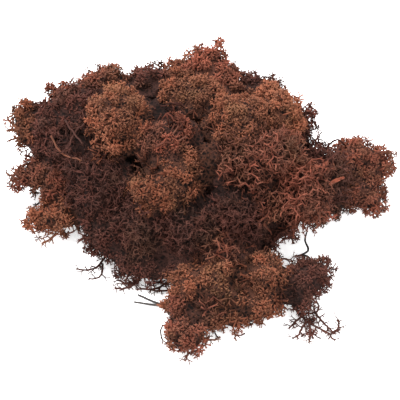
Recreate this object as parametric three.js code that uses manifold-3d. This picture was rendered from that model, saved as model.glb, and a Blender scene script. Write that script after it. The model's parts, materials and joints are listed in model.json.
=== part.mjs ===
// A clump of dyed reindeer moss (a Cladonia lichen): some fifty tufts of forked branches, pressed and
// tangled into one mound that lies on a table, with a pair of pine needles and two twigs caught in it.
//
// Each tuft has one or more rounded lobes. A lobe is a knobbly core with forked branches and pointed tips that
// stand out of it. Neighbouring tufts meet at flat faces, a small gap apart, as pressed cushions do.
// Millimetres, +Z up, +Y towards the back of the mound. The origin is on the table, in the mound's middle.

import * as THREE from "three";
import { mergeVertices } from "three/addons/utils/BufferGeometryUtils.js";
import Module from "manifold-3d";

const wasm = await Module();
wasm.setup();
const { Manifold, Mesh: SolidMesh } = wasm;

// ------------------------------------------------------------------------------------------ driving sizes

const GAP = 0.3; // between two tufts that press on each other
const TABLE = 0; // height of the surface that the mound lies on
const CLEARANCE = 0.35; // around a needle or a twig that is caught in a tuft
const FULLNESS = 1.12; // how much the tufts swell against each other
const BASE_SPREAD = 1.7; // a branch's foot on the core is this many times its stem's radius
const STALK = 2.2; // radius of the stalks that join a tuft's lobes
const SHELTER = 9; // a face with another core this close in front of it bears nothing
const UNDERSIDE = -0.5; // the upward share of a face's direction below which it bears nothing
const SIDES = 3; // of every branch, which is also how many forks leave a joint
const TURN = (2 * Math.PI) / SIDES;

// How a tuft grows. core: share of a lobe's reach that its core takes. large: radius over which a core
// has four times the faces of a smaller one. spacing: between neighbouring branches, as a share of the
// core's radius; the faces between them rise to low tips. stem: radius of a branch. splay: angle of a fork
// from its parent. Nothing grows on a bed, which lies under and inside the mound.
const HABITS = {
  cushion: { core: 0.72, large: 10.5, spacing: 0.54, stem: 0.95, splay: 0.8 },
  open: { core: 0.66, large: 10.5, spacing: 0.54, stem: 0.9, splay: 0.75 },
  bed: { core: 0.86, large: 16, bare: true },
};

// Spans of the random draws: the least and the greatest value.
const SPANS = {
  swell: [0.9, 1.06], // of a core's corners, as a share of its radius
  fork: [0.42, 0.54], // height at which a branch parts, as a share of its reach
  splay: [0.8, 1.2], // of one fork, as a share of the habit's splay
  prong: [0.85, 1.15], // length of one fork, as a share of what the stem leaves over
  reach: [0.95, 1.2], // of a branch, as a share of the height that is free above its face
  tip: [0.35, 0.7], // height of a low tip, as a share of the same
  side: [0.7, 1.2], // reach of a strand's side branch, as a share of its description's
};
const BRANCH_TILT = 0.3; // how far a branch leans at most, as a share of its length
const TIP_TILT = 0.35; // the same for a low tip
const SUNK_FOOT = 0.12; // height at which a branch's round foot starts, as a share of the free height
const PRONG_TAPER = 0.78; // radius of a fork, as a share of its stem's
const TRIES = [1, 0.9, 0.8, 0.65, 0.5]; // shares of the free height at which a branch is tried
const FORKED_FROM = 0.6; // a try below this share has no forks
const LOWER_TRY = 0.6; // share of a low tip's height that is tried where the whole doesn't fit

const FINISHES = {
  tan: { color: 0x744734, roughness: 0.95, metalness: 0 },
  rust: { color: 0x623a2f, roughness: 0.95, metalness: 0 },
  umber: { color: 0x452b26, roughness: 0.95, metalness: 0 },
  needle: { color: 0x3a2c26, roughness: 0.7, metalness: 0 },
  twig: { color: 0x241c1b, roughness: 0.8, metalness: 0 },
};

// The tufts. Each lobe is [x, y, z, reach]: its middle and how far its outermost tips stand from there.
const TUFTS = {
  // the ridge along the back, left to right
  left_knob: ["cushion", "tan", [[-87, 46, 26, 11], [-87, 36, 21, 9]]],
  left_spire: ["cushion", "rust", [[-72, 54, 33, 8]]],
  back_left_knob: ["cushion", "rust", [[-46, 59, 41, 10], [-58, 56, 36, 9.5]]],
  back_mid: ["cushion", "umber", [[-26, 56, 42, 11.5]]],
  crown: ["cushion", "rust", [[2, 60, 51, 12], [8, 63, 57, 6.5], [-9, 55, 49, 9]]],
  back_red: ["cushion", "rust", [[13, 49, 48, 9]]],
  back_dark: ["cushion", "umber", [[24, 56, 40, 9]]],
  back_right: ["cushion", "tan", [[34, 46, 40, 10.5], [43, 43, 37, 7.5]]],
  right_ear: ["cushion", "umber", [[54, 43, 32, 6.5], [51, 38, 28, 8.5]]],
  // the top of the mound
  left_shoulder: ["cushion", "umber", [[-74, 41, 30, 13.5], [-77, 29, 22, 13]]],
  left_back: ["cushion", "umber", [[-59, 42, 37, 14]]],
  bright_head: ["cushion", "tan", [[-40, 27, 50, 15.5], [-43, 15, 46, 9.5]]],
  centre_pocket: ["open", "umber", [[-15, 32, 44, 13]]],
  centre_back: ["cushion", "tan", [[-10, 41, 52, 12], [3, 36, 53, 12]]],
  centre_dome: ["cushion", "tan", [[19, 20, 53, 15.5]]],
  right_dome: ["cushion", "tan", [[38, 30, 44, 15]]],
  mid_strands: ["open", "rust", [[-15, 11, 46, 15]]],
  mid_dome: ["cushion", "tan", [[-2, -1, 44, 11]]],
  open_net: ["open", "rust", [[32, 4, 43, 17], [14, 5, 44, 12]]],
  // the front of the mound
  left_hollow: ["open", "umber", [[-62, 23, 29, 15]]],
  left_tip: ["cushion", "rust", [[-82, 16, 15, 11], [-90, 17, 12, 8]]],
  left_low: ["cushion", "rust", [[-72, 9, 18, 12]]],
  left_front_knob: ["cushion", "tan", [[-69, -7, 11, 10.5], [-79, -6, 9, 9.5]]],
  front_left_mass: ["open", "umber", [[-50, 0, 27, 18]]],
  front_left_low: ["open", "umber", [[-47, -18, 13, 15]]],
  front_mass: ["open", "umber", [[-27, -19, 22, 16], [-34, -6, 22, 10]]],
  front_head: ["cushion", "tan", [[-20, -13, 41, 13.5], [-9, -12, 38, 9]]],
  front_mid_mass: ["open", "umber", [[-5, -23, 25, 16]]],
  front_skirt: ["open", "umber", [[-24, -37, 8, 12], [-36, -33, 7, 10]]],
  mid_right_mass: ["open", "umber", [[18, -18, 28, 16]]],
  open_net_low: ["open", "rust", [[47, -8, 30, 17], [31, -14, 34, 11]]],
  right_low_knob: ["cushion", "umber", [[39, -17, 13, 9.5]]],
  // the lobe that reaches out to the right
  right_root: ["open", "umber", [[61, 9, 24, 15], [62, 20, 22, 9]]],
  right_lobe_upper: ["cushion", "rust", [[75, 19, 23, 11.5], [80, 27, 22, 8.5]]],
  right_lobe_end: ["cushion", "rust", [[87, 20, 19, 11.5], [91, 24, 18, 8]]],
  right_lobe_low: ["cushion", "rust", [[83, 6, 13, 11.5], [89, 3, 8, 7]]],
  right_lobe_under: ["open", "umber", [[66, 3, 11, 11], [74, 9, 10, 10], [57, -3, 9, 9]]],
  // the smaller part that lies in front
  front_bridge: ["open", "rust", [[12, -35, 17, 13]]],
  front_dome: ["cushion", "tan", [[31, -49, 14, 14]]],
  front_dome_low: ["cushion", "tan", [[29, -62, 9, 12.5], [18, -67, 6, 8.5]]],
  front_mid: ["cushion", "tan", [[11, -51, 15, 12], [10, -62, 9, 10.5]]],
  front_left: ["cushion", "tan", [[-6, -53, 13, 11.5], [-12, -60, 8, 8.5]]],
  front_foot: ["cushion", "rust", [[-8, -67, 9, 10.5], [-7, -81, 8, 11], [3, -68, 8, 9.5]]],
  front_wisp: ["open", "umber", [[57, -45, 11, 11.5], [47, -54, 9, 11]]],
  // the back of the mound, below the ridge
  back_low_far_left: ["cushion", "umber", [[-72, 49, 13, 14]]],
  back_low_left: ["cushion", "rust", [[-49, 60, 21, 15.5]]],
  back_low_mid: ["cushion", "umber", [[-24, 66, 16, 17.5]]],
  back_low_crown: ["cushion", "rust", [[6, 69, 26, 16]]],
  back_low_right: ["cushion", "umber", [[33, 61, 16, 17]]],
  back_low_far_right: ["cushion", "rust", [[47, 33, 12, 12]]],
  // what lies underneath and inside
  bed_left: [
    "bed",
    "umber",
    [
      [-48, 30, 15, 22],
      [-30, 28, 34, 13],
      [-32, 46, 30, 15],
      [-66, 18, 12, 13],
      [-42, 4, 11, 17],
      [-58, -3, 9, 12],
    ],
  ],
  bed_middle: ["bed", "umber", [[-8, 22, 17, 27], [4, 45, 34, 17]]],
  bed_right: ["bed", "umber", [[32, 20, 15, 24], [13, 6, 30, 14], [30, -15, 11, 15], [33, 42, 24, 15]]],
  bed_front: [
    "bed",
    "umber",
    [[2, -5, 8, 18], [-17, -22, 7, 15], [-6, -36, 7, 13], [16, -36, 8, 14], [32, -31, 7, 9.5]],
  ],
};

// Long branches that lie on the table beside the tuft that they grow from: the points that each passes
// through, its radius, and how far its side branches reach.
const STRANDS = {
  front_left_low: [
    { path: [[-45, -22, 4], [-52, -32, 2.5], [-58, -33, 1.6], [-63, -32, 1.5]], stem: 0.8, reach: 4 },
    { path: [[-49, -30, 3], [-50, -39, 1.6], [-56, -40, 1.5]], stem: 0.65, reach: 4 },
  ],
  front_skirt: [{ path: [[-34, -36, 3], [-39, -43, 2], [-43, -46, 1.8]], stem: 0.85, reach: 5 }],
  front_wisp: [
    { path: [[53, -47, 8], [54, -64, 2.5], [60, -70, 2]], stem: 1, reach: 6 },
    { path: [[54, -64, 2.5], [50, -73, 2], [56, -80, 1.8]], stem: 0.8, reach: 5 },
    { path: [[55, -65, 2.5], [63, -72, 2], [69, -70, 2]], stem: 0.75, reach: 4 },
  ],
  front_foot: [{ path: [[-9, -68, 5], [-18, -71, 2.5], [-18, -78, 1.6]], stem: 0.65, reach: 3.5 }],
};

// Needles and twigs that are caught in the moss: each is a bundle of tapering rods, [path, radius].
const DEBRIS = {
  pine_needles: [
    "needle",
    [
      [[[-6, -56, 8], [-18, -55, 1.6], [-31, -48.5, 1.1]], 0.62],
      [[[-6, -56, 8], [-18, -55.5, 1.6], [-33, -53, 1.1]], 0.62],
    ],
  ],
  bent_twig: [
    "twig",
    [
      [[[47.5, -26, 4], [52, -26, 4.5], [55, -29, 6], [58, -38, 8]], 0.6],
      [[[50, -26.2, 4.3], [54.5, -23, 5], [53, -17, 5.5], [54, -12, 6.5]], 0.55],
    ],
  ],
  dark_twig: ["twig", [[[[-70, 6, 9], [-80, 6, 9], [-87, 0, 7]], 0.7]]],
};

// ------------------------------------------------------------------------------------------ small helpers

const vec = (x, y, z) => new THREE.Vector3(x, y, z);

const between = ([least, greatest], share) => least + (greatest - least) * share;

// A repeatable stream of numbers from 0 to 1.
function randomStream(seed) {
  let state = seed >>> 0;
  return () => {
    state = (state + 0x6d2b79f5) >>> 0;
    let t = state;
    t = Math.imul(t ^ (t >>> 15), t | 1);
    t ^= t + Math.imul(t ^ (t >>> 7), t | 61);
    return ((t ^ (t >>> 14)) >>> 0) / 4294967296;
  };
}

// Two directions that stand square to an axis and to each other.
function sideways(axis) {
  const helper = Math.abs(axis.z) < 0.8 ? vec(0, 0, 1) : vec(1, 0, 0);
  const first = helper.cross(axis).normalize();
  return [first, axis.clone().cross(first)];
}

// The direction square to an axis at an angle round it.
function outward(axis, angle) {
  const [first, second] = sideways(axis);
  return first.multiplyScalar(Math.cos(angle)).addScaledVector(second, Math.sin(angle));
}

// An axis leant by a share of its length towards a random side.
function tilted(axis, share, random) {
  return axis.clone().addScaledVector(outward(axis, random() * 2 * Math.PI), share).normalize();
}

// The shortest distance between two straight stretches.
function distanceBetween(a, b) {
  const [u, v, w] = [a.to.clone().sub(a.from), b.to.clone().sub(b.from), a.from.clone().sub(b.from)];
  const [uu, uv, vv, uw, vw] = [u.dot(u), u.dot(v), v.dot(v), u.dot(w), v.dot(w)];
  const det = uu * vv - uv * uv;
  let s = det < 1e-9 ? 0 : THREE.MathUtils.clamp((uv * vw - vv * uw) / det, 0, 1);
  const t = THREE.MathUtils.clamp((uv * s + vw) / vv, 0, 1);
  s = THREE.MathUtils.clamp((uv * t - uw) / uu, 0, 1);
  return w.addScaledVector(u, s).addScaledVector(v, -t).length();
}

// --------------------------------------------------------------------------------- a closed, growing shell

// Points and triangles that stay one closed surface while branches are drawn out of its faces.
class Shell {
  constructor() {
    this.points = [];
    this.faces = [];
  }

  add(point) {
    this.points.push(point);
    return this.points.length - 1;
  }

  middle(ring) {
    return ring.reduce((sum, i) => sum.add(this.points[i]), vec(0, 0, 0)).divideScalar(ring.length);
  }

  // Closes a ring with three faces that meet in one point above it.
  peak(ring, tip) {
    const top = this.add(tip);
    ring.forEach((corner, k) => this.faces.push([corner, ring[(k + 1) % SIDES], top]));
  }

  // Joins two rings with a band of faces, at the turn where they fit best.
  band(lower, upper) {
    const cost = (shift) =>
      lower.reduce((sum, i, k) => sum + this.points[i].distanceTo(this.points[upper[(k + shift) % SIDES]]), 0);
    const best = [0, 1, 2].reduce((a, b) => (cost(b) < cost(a) ? b : a));
    const fitted = lower.map((_, k) => upper[(k + best) % SIDES]);
    lower.forEach((corner, k) => {
      const next = (k + 1) % SIDES;
      this.faces.push([corner, lower[next], fitted[next]], [corner, fitted[next], fitted[k]]);
    });
  }

  // Draws a planned branch, with all its forks, out of a ring.
  draw(ring, branch) {
    if (!branch.forks.length) {
      this.peak(ring, branch.to);
      return;
    }
    const collar = [0, 1, 2].map((k) =>
      this.add(branch.to.clone().addScaledVector(outward(branch.axis, branch.spin + k * TURN), branch.radius)),
    );
    this.band(ring, collar);
    const crotch = this.add(branch.to.clone().addScaledVector(branch.axis, branch.radius * 0.5));
    collar.forEach((corner, k) => this.draw([corner, collar[(k + 1) % SIDES], crotch], branch.forks[k]));
  }

  // True where an edge passes through a face that it is no part of.
  crossesItself() {
    const corners = this.faces.map((face) => face.map((i) => this.points[i]));
    const boxes = corners.map((triangle) => new THREE.Box3().setFromPoints(triangle));
    const ray = new THREE.Ray();
    const hit = vec(0, 0, 0);
    const pierced = (from, to) => {
      const [start, end] = [this.points[from], this.points[to]];
      const span = new THREE.Box3().setFromPoints([start, end]);
      ray.set(start, end.clone().sub(start).normalize());
      return this.faces.some((face, k) => {
        if (face.includes(from) || face.includes(to) || !boxes[k].intersectsBox(span)) return false;
        return ray.intersectTriangle(...corners[k], false, hit) && hit.distanceTo(start) < start.distanceTo(end);
      });
    };
    return this.faces.some((face) => face.some((from, k) => pierced(from, face[(k + 1) % SIDES])));
  }

  solid() {
    const mesh = new SolidMesh({
      numProp: 3,
      vertProperties: new Float32Array(this.points.flatMap((p) => p.toArray())),
      triVerts: new Uint32Array(this.faces.flat()),
    });
    return new Manifold(mesh);
  }
}

// ------------------------------------------------------------------------------------------- the branches

// Plans a branch from a point: a plain spike, or a stem that parts into three.
function planBranch(from, axis, reach, radius, splay, random) {
  const stem = splay ? reach * between(SPANS.fork, random()) : reach;
  const to = from.clone().addScaledVector(axis, stem);
  const branch = { from, axis, radius, spin: random() * TURN, to, forks: [] };
  for (let k = 0; k < SIDES && splay; k++) {
    const side = outward(axis, branch.spin + (k + 0.5) * TURN);
    const lean = splay * between(SPANS.splay, random());
    const heading = axis.clone().multiplyScalar(Math.cos(lean)).addScaledVector(side, Math.sin(lean));
    const foot = branch.to.clone().addScaledVector(side, radius * 0.4);
    const rest = (reach - stem) * between(SPANS.prong, random());
    branch.forks.push(planBranch(foot, heading, rest, radius * PRONG_TAPER, 0, random));
  }
  return branch;
}

function stretchesOf(branch) {
  return [branch, ...branch.forks];
}

// True where a branch keeps clear of what has grown already.
function keepsClear(branch, grown) {
  const apart = (a, b) => distanceBetween(a, b) > a.radius + b.radius + CLEARANCE;
  return stretchesOf(branch).every((own) => grown.every((other) => apart(own, other)));
}

// A branch that stands by itself, closed at its foot.
function looseBranch(branch) {
  const shell = new Shell();
  const foot = [0, 1, 2].map((k) =>
    shell.add(branch.from.clone().addScaledVector(outward(branch.axis, branch.spin + k * TURN), branch.radius)),
  );
  shell.faces.push([foot[0], foot[2], foot[1]]);
  shell.draw(foot, branch);
  return shell.solid();
}

// ---------------------------------------------------------------------------------------------- the lobes

// The flat faces where a lobe meets its neighbours, each as an outward normal and a distance. Two cores
// cross exactly on the face between them.
function facesWith(lobe, others) {
  return others
    .filter((other) => lobe.middle.distanceTo(other.middle) < lobe.reach + other.reach + 2)
    .map((other) => {
      const normal = other.middle.clone().sub(lobe.middle);
      const apart = normal.length();
      normal.divideScalar(apart);
      const share = (apart * apart + lobe.core ** 2 - other.core ** 2) / (2 * apart);
      return { normal, distance: normal.dot(lobe.middle) + share };
    });
}

// How far a point lies inside the nearest of a lobe's flat faces and above the table.
function depthInside(point, faces) {
  return Math.min(point.z - TABLE, ...faces.map(({ normal, distance }) => distance - normal.dot(point)));
}

function staysInside(branch, faces) {
  return stretchesOf(branch).every(({ to, radius }) => depthInside(to, faces) > radius + GAP);
}

// An icosahedral ball about the lobe's middle, turned by chance, with its corners pushed in and out a little.
function roughCore(lobe, large, random) {
  const ball = new THREE.IcosahedronGeometry(lobe.core, lobe.core > large ? 1 : 0);
  ball.deleteAttribute("normal");
  ball.deleteAttribute("uv");
  const core = mergeVertices(ball, 1e-3);
  const turn = new THREE.Euler(random() * TURN, random() * TURN, random() * TURN);
  const shell = new Shell();
  for (let i = 0; i < core.attributes.position.count; i++) {
    const corner = vec().fromBufferAttribute(core.attributes.position, i).applyEuler(turn);
    shell.add(corner.multiplyScalar(between(SPANS.swell, 1 - random())).add(lobe.middle));
  }
  const corners = Array.from(core.index.array);
  return { shell, rings: corners.flatMap((_, f) => (f % SIDES ? [] : [corners.slice(f, f + SIDES)])) };
}

// The first of a few ever shorter tries at a branch on a foot that crosses nothing, or null.
function plantBranch({ foot, axis, pile }, habit, faces, grown, random) {
  for (const share of TRIES) {
    const heading = tilted(axis, BRANCH_TILT * random(), random);
    const from = foot.clone().addScaledVector(axis, pile * SUNK_FOOT);
    const reach = pile * share * between(SPANS.reach, random());
    const branch = planBranch(from, heading, reach, habit.stem, share > FORKED_FROM ? habit.splay : 0, random);
    if (staysInside(branch, faces) && keepsClear(branch, grown)) return branch;
  }
  return null;
}

// The point of a tip that stands on a whole face of a core, or null where it would reach a neighbour.
function plantTip({ foot, axis, pile }, faces, random) {
  const heading = tilted(axis, TIP_TILT * random(), random);
  const height = pile * between(SPANS.tip, random());
  const points = [height, height * LOWER_TRY].map((h) => foot.clone().addScaledVector(heading, h));
  return points.find((point) => depthInside(point, faces) > GAP) ?? null;
}

// True for a face that nothing presses on, shelters or hides from below.
function isOpen({ foot, axis }, room) {
  const ahead = foot.clone().addScaledVector(axis, SHELTER);
  return (
    axis.z > UNDERSIDE &&
    depthInside(foot, room.faces) > 1 &&
    room.cores.every(({ middle, core }) => ahead.distanceTo(middle) > core + 1)
  );
}

// A lobe: a core whose open faces each spread into a forked branch or rise to a tip. It is grown anew, with
// other draws, where what stands on it crosses.
function growLobe(lobe, habit, room, random) {
  const { shell, rings } = roughCore(lobe, habit.large, random);
  const feet = [];
  const branches = [];
  for (const ring of rings) {
    const foot = shell.middle(ring);
    const axis = foot.clone().sub(lobe.middle).normalize();
    const spot = { foot, axis, pile: lobe.reach - foot.distanceTo(lobe.middle) };
    const open = !habit.bare && isOpen(spot, room);
    const wanted = open && feet.every((other) => other.distanceTo(foot) > habit.spacing * lobe.core);
    const standing = [...room.grown, ...branches];
    const branch = wanted ? plantBranch(spot, habit, room.faces, standing, random) : null;
    const tip = open ? plantTip(spot, room.faces, random) : null;
    if (branch) {
      feet.push(foot);
      branches.push(...stretchesOf(branch));
      drawBranch(shell, ring, foot, branch);
    } else if (tip) {
      shell.peak(ring, tip);
    } else {
      shell.faces.push(ring);
    }
  }
  if (shell.crossesItself()) return growLobe(lobe, habit, room, random);
  room.grown.push(...branches);
  return shell.solid();
}

// A branch whose foot spreads to the corners of a face.
function drawBranch(shell, ring, foot, branch) {
  const collar = ring.map((corner) => {
    const spoke = shell.points[corner].clone().sub(foot).normalize();
    return shell.add(branch.from.clone().addScaledVector(spoke, branch.radius * BASE_SPREAD));
  });
  shell.band(ring, collar);
  shell.draw(collar, branch);
}

// ------------------------------------------------------------------------------ strands, needles and twigs

const ROD_SIDES = 4;
const STEP = 6; // length of one straight stretch of a rod, about
const SIDE_BRANCHES = 8.5; // between the side branches of a strand
const BARE_FOOT = 0.35; // share of a strand that bears no side branches
const LAST_BRANCH = 0.98; // share of a strand at which its last branch leaves it
const RISE = 0.12; // of a side branch from the table, as a share of its length
const SIDE_STEM = 0.85; // radius of a side branch, as a share of the strand's
const SIDE_SPLAY = 0.7; // of a side branch's forks

// A round rod along a smooth curve, closed at both ends.
function rod(path, radius) {
  const curve = new THREE.CatmullRomCurve3(path.map((p) => vec(...p)));
  const section = new THREE.Shape(
    Array.from({ length: ROD_SIDES }, (_, k) => {
      const angle = (2 * Math.PI * (k + 0.5)) / ROD_SIDES;
      return new THREE.Vector2(Math.cos(angle), Math.sin(angle)).multiplyScalar(radius);
    }),
  );
  const steps = Math.max(2, Math.round(curve.getLength() / STEP));
  const geometry = new THREE.ExtrudeGeometry(section, { steps, extrudePath: curve });
  return { curve, solid: solidOf(geometry) };
}

function solidOf(geometry) {
  geometry.deleteAttribute("normal");
  geometry.deleteAttribute("uv");
  const merged = mergeVertices(geometry, 1e-4);
  const mesh = new SolidMesh({
    numProp: 3,
    vertProperties: merged.attributes.position.array,
    triVerts: new Uint32Array(merged.index.array),
  });
  return new Manifold(mesh);
}

// A long branch on the table, with forked side branches left and right of it and one at its end.
function strand({ path, stem, reach }, random) {
  const { curve, solid } = rod(path, stem);
  const count = Math.max(2, Math.round(curve.getLength() / SIDE_BRANCHES));
  const parts = [solid];
  for (let k = 1; k <= count; k++) {
    const at = between([BARE_FOOT, LAST_BRANCH], k / count);
    const along = curve.getTangentAt(at);
    const side = vec(-along.y, along.x, 0).normalize().multiplyScalar(k % 2 ? 1 : -1);
    const heading = (k === count ? along : along.clone().multiplyScalar(0.5).add(side)).setZ(RISE).normalize();
    const length = reach * between(SPANS.side, random());
    const branch = planBranch(curve.getPointAt(at), heading, length, stem * SIDE_STEM, SIDE_SPLAY, random);
    if (stretchesOf(branch).every(({ to }) => to.z > TABLE + GAP)) parts.push(looseBranch(branch));
  }
  return Manifold.union(parts);
}

// ---------------------------------------------------------------------------------------- the whole clump

function asLobes([habit, , list]) {
  return list.map(([x, y, z, size]) => {
    const reach = size * FULLNESS;
    return { middle: vec(x, y, z), reach, core: reach * HABITS[habit].core };
  });
}

// Stalks that join a tuft's lobes, each to the nearest one before it.
function stalksOf(lobes) {
  return lobes.slice(1).map(({ middle }, k) => {
    const apart = (lobe) => lobe.middle.distanceTo(middle);
    const nearest = lobes.slice(0, k + 1).reduce((a, b) => (apart(b) < apart(a) ? b : a));
    return rod([nearest.middle.toArray(), middle.toArray()], STALK).solid;
  });
}

// The body that holds most of a solid; a cut can leave a loose tip behind, which is dropped.
function largestBody(solid) {
  return solid.decompose().reduce((a, b) => (b.volume() > a.volume() ? b : a));
}

function meshOf(name, solid, finish) {
  const { vertProperties, triVerts, numProp } = solid.getMesh();
  const positions = new Float32Array((vertProperties.length / numProp) * 3);
  for (let i = 0; i < positions.length / 3; i++) {
    positions.set(vertProperties.subarray(i * numProp, i * numProp + 3), i * 3);
  }
  const geometry = new THREE.BufferGeometry();
  geometry.setAttribute("position", new THREE.BufferAttribute(positions, 3));
  geometry.setIndex(new THREE.BufferAttribute(triVerts, 1));
  const mesh = new THREE.Mesh(geometry, new THREE.MeshStandardMaterial(FINISHES[finish]));
  mesh.name = name;
  return mesh;
}

function buildDebris() {
  return Object.entries(DEBRIS).map(([name, [finish, rods]]) => ({
    name,
    finish,
    solid: Manifold.union(rods.map(([path, radius]) => rod(path, radius).solid)),
    clearance: Manifold.union(rods.map(([path, radius]) => rod(path, radius + CLEARANCE).solid)),
  }));
}

// A tuft: its lobes, cut flat where other tufts press on them, its stalks and its strands, all cut flat by the
// table and opened for the needles and twigs that it holds.
function buildTuft(name, seed, debris) {
  const habit = HABITS[TUFTS[name][0]];
  const lobes = asLobes(TUFTS[name]);
  const strangers = Object.keys(TUFTS).flatMap((other) => (other === name ? [] : asLobes(TUFTS[other])));
  const random = randomStream(seed);
  const grown = [];
  const drawnBack = ({ normal, distance }) => ({ normal, distance: distance - GAP / 2 });
  const cut = (solid, { normal, distance }) => solid.trimByPlane(normal.clone().negate().toArray(), -distance);
  const parts = lobes.map((lobe) => {
    const siblings = lobes.filter((other) => other !== lobe);
    const pressed = facesWith(lobe, strangers).map(drawnBack);
    const faces = [...pressed, ...facesWith(lobe, siblings)];
    const room = { faces, cores: [...strangers, ...siblings], grown };
    return pressed.reduce(cut, growLobe(lobe, habit, room, random));
  });
  parts.push(...stalksOf(lobes));
  for (const description of STRANDS[name] ?? []) parts.push(strand(description, random));
  const joined = Manifold.union(parts).trimByPlane([0, 0, 1], TABLE);
  return largestBody(debris.reduce((solid, { clearance }) => solid.subtract(clearance), joined));
}

const clump = new THREE.Group();
clump.name = "reindeer_moss_clump";
const debris = buildDebris();
Object.entries(TUFTS).forEach(([name, [, finish]], k) => {
  clump.add(meshOf(name, buildTuft(name, 101 + 17 * k, debris), finish));
});
for (const { name, finish, solid } of debris) clump.add(meshOf(name, solid, finish));

export default clump;
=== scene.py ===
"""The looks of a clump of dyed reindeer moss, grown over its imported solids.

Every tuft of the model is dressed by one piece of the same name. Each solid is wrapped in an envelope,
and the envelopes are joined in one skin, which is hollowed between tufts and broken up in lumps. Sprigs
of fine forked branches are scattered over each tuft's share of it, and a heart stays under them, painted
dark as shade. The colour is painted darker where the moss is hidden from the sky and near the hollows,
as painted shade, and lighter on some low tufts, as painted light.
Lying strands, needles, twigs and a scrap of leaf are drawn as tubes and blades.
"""

import json
import logging
import math
import random
from collections.abc import Iterable, Sequence
from dataclasses import dataclass, field
from enum import Enum

import bpy
import numpy as np
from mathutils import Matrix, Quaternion, Vector
from mathutils.bvhtree import BVHTree

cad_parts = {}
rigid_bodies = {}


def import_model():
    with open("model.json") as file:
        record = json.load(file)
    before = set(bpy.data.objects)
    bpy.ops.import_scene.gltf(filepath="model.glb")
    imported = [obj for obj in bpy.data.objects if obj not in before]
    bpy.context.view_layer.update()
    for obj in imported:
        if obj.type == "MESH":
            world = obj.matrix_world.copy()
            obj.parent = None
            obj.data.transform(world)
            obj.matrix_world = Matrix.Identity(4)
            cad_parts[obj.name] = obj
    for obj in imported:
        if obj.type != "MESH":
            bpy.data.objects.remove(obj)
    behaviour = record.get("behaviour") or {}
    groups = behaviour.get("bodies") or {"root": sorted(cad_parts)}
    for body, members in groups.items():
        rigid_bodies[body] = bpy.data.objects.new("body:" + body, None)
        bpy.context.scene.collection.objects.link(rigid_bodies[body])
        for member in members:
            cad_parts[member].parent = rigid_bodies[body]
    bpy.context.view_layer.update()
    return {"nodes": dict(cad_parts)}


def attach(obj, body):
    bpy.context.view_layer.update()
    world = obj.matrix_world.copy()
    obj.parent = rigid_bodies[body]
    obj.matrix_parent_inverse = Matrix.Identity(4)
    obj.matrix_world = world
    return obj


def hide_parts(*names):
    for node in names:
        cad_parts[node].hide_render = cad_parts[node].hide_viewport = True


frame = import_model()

Group = bpy.types.NodeTree
Material = bpy.types.Material
Mesh = bpy.types.Mesh
Node = bpy.types.Node
Object = bpy.types.Object
Socket = bpy.types.NodeSocket
Point = tuple[float, float, float]

MM = 0.001
BODY = "root"
UP = Vector((0.0, 0.0, 1.0))
GOLDEN_ANGLE = math.pi * (3 - math.sqrt(5))
TABLE_CLEARANCE = 0.15 * MM
# Painted shade near the hollows: the heart's colour is darkest within SHADE_START of a hollow and full beyond
# SHADE_END.
SHADE_START = 2.0 * MM
SHADE_END = 6.0 * MM
DEEPEST_SHADE = 0.62
FIRST_SEED = 11
SEED_STEP = 7
STRAND_SEED_STEP = 31
SPRIG_SEED = 40
SPRIG_SEED_STEP = 100
SPRIGS_A_KIND = 6
LITTER_SEED = 70
SKY_SEED = 5

log = logging.getLogger("reindeer_moss")


class Habit(Enum):
    """How a tuft grows."""

    CUSHION = "cushion"
    LOOSE = "loose"
    NET = "net"
    BED = "bed"


# --- fine geometry -------------------------------------------------------------------------


def random_unit(rng: random.Random) -> Vector:
    """A random direction, even over the sphere.

    Args:
        rng: the source of its two draws.

    Returns:
        A unit vector.
    """
    z = rng.uniform(-1, 1)
    turn = rng.uniform(0, 2 * math.pi)
    ring = math.sqrt(1 - z * z)
    return Vector((ring * math.cos(turn), ring * math.sin(turn), z))


def sideways(axis: Vector) -> Vector:
    """A unit vector at right angles to an axis."""
    other = Vector((1, 0, 0)) if abs(axis.x) < 0.8 else Vector((0, 1, 0))
    return axis.cross(other).normalized()


def cap_directions(count: int, widest: float, rng: random.Random, jitter: float) -> list[Vector]:
    """Directions spread evenly over a cap round +Z.

    Args:
        count: how many directions.
        widest: the cap's half angle, in radians.
        rng: the source of the jitter and of the cap's turn.
        jitter: the length of the random vector added to each direction.

    Returns:
        Unit vectors, from the middle of the cap outwards.
    """
    start = rng.uniform(0, 2 * math.pi)
    found = []
    for k in range(count):
        height = 1 - (1 - math.cos(widest)) * (k + 0.5) / count
        ring = math.sqrt(1 - height * height)
        turn = start + k * GOLDEN_ANGLE
        even = Vector((ring * math.cos(turn), ring * math.sin(turn), height))
        found.append((even + random_unit(rng) * jitter).normalized())
    return found


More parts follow.
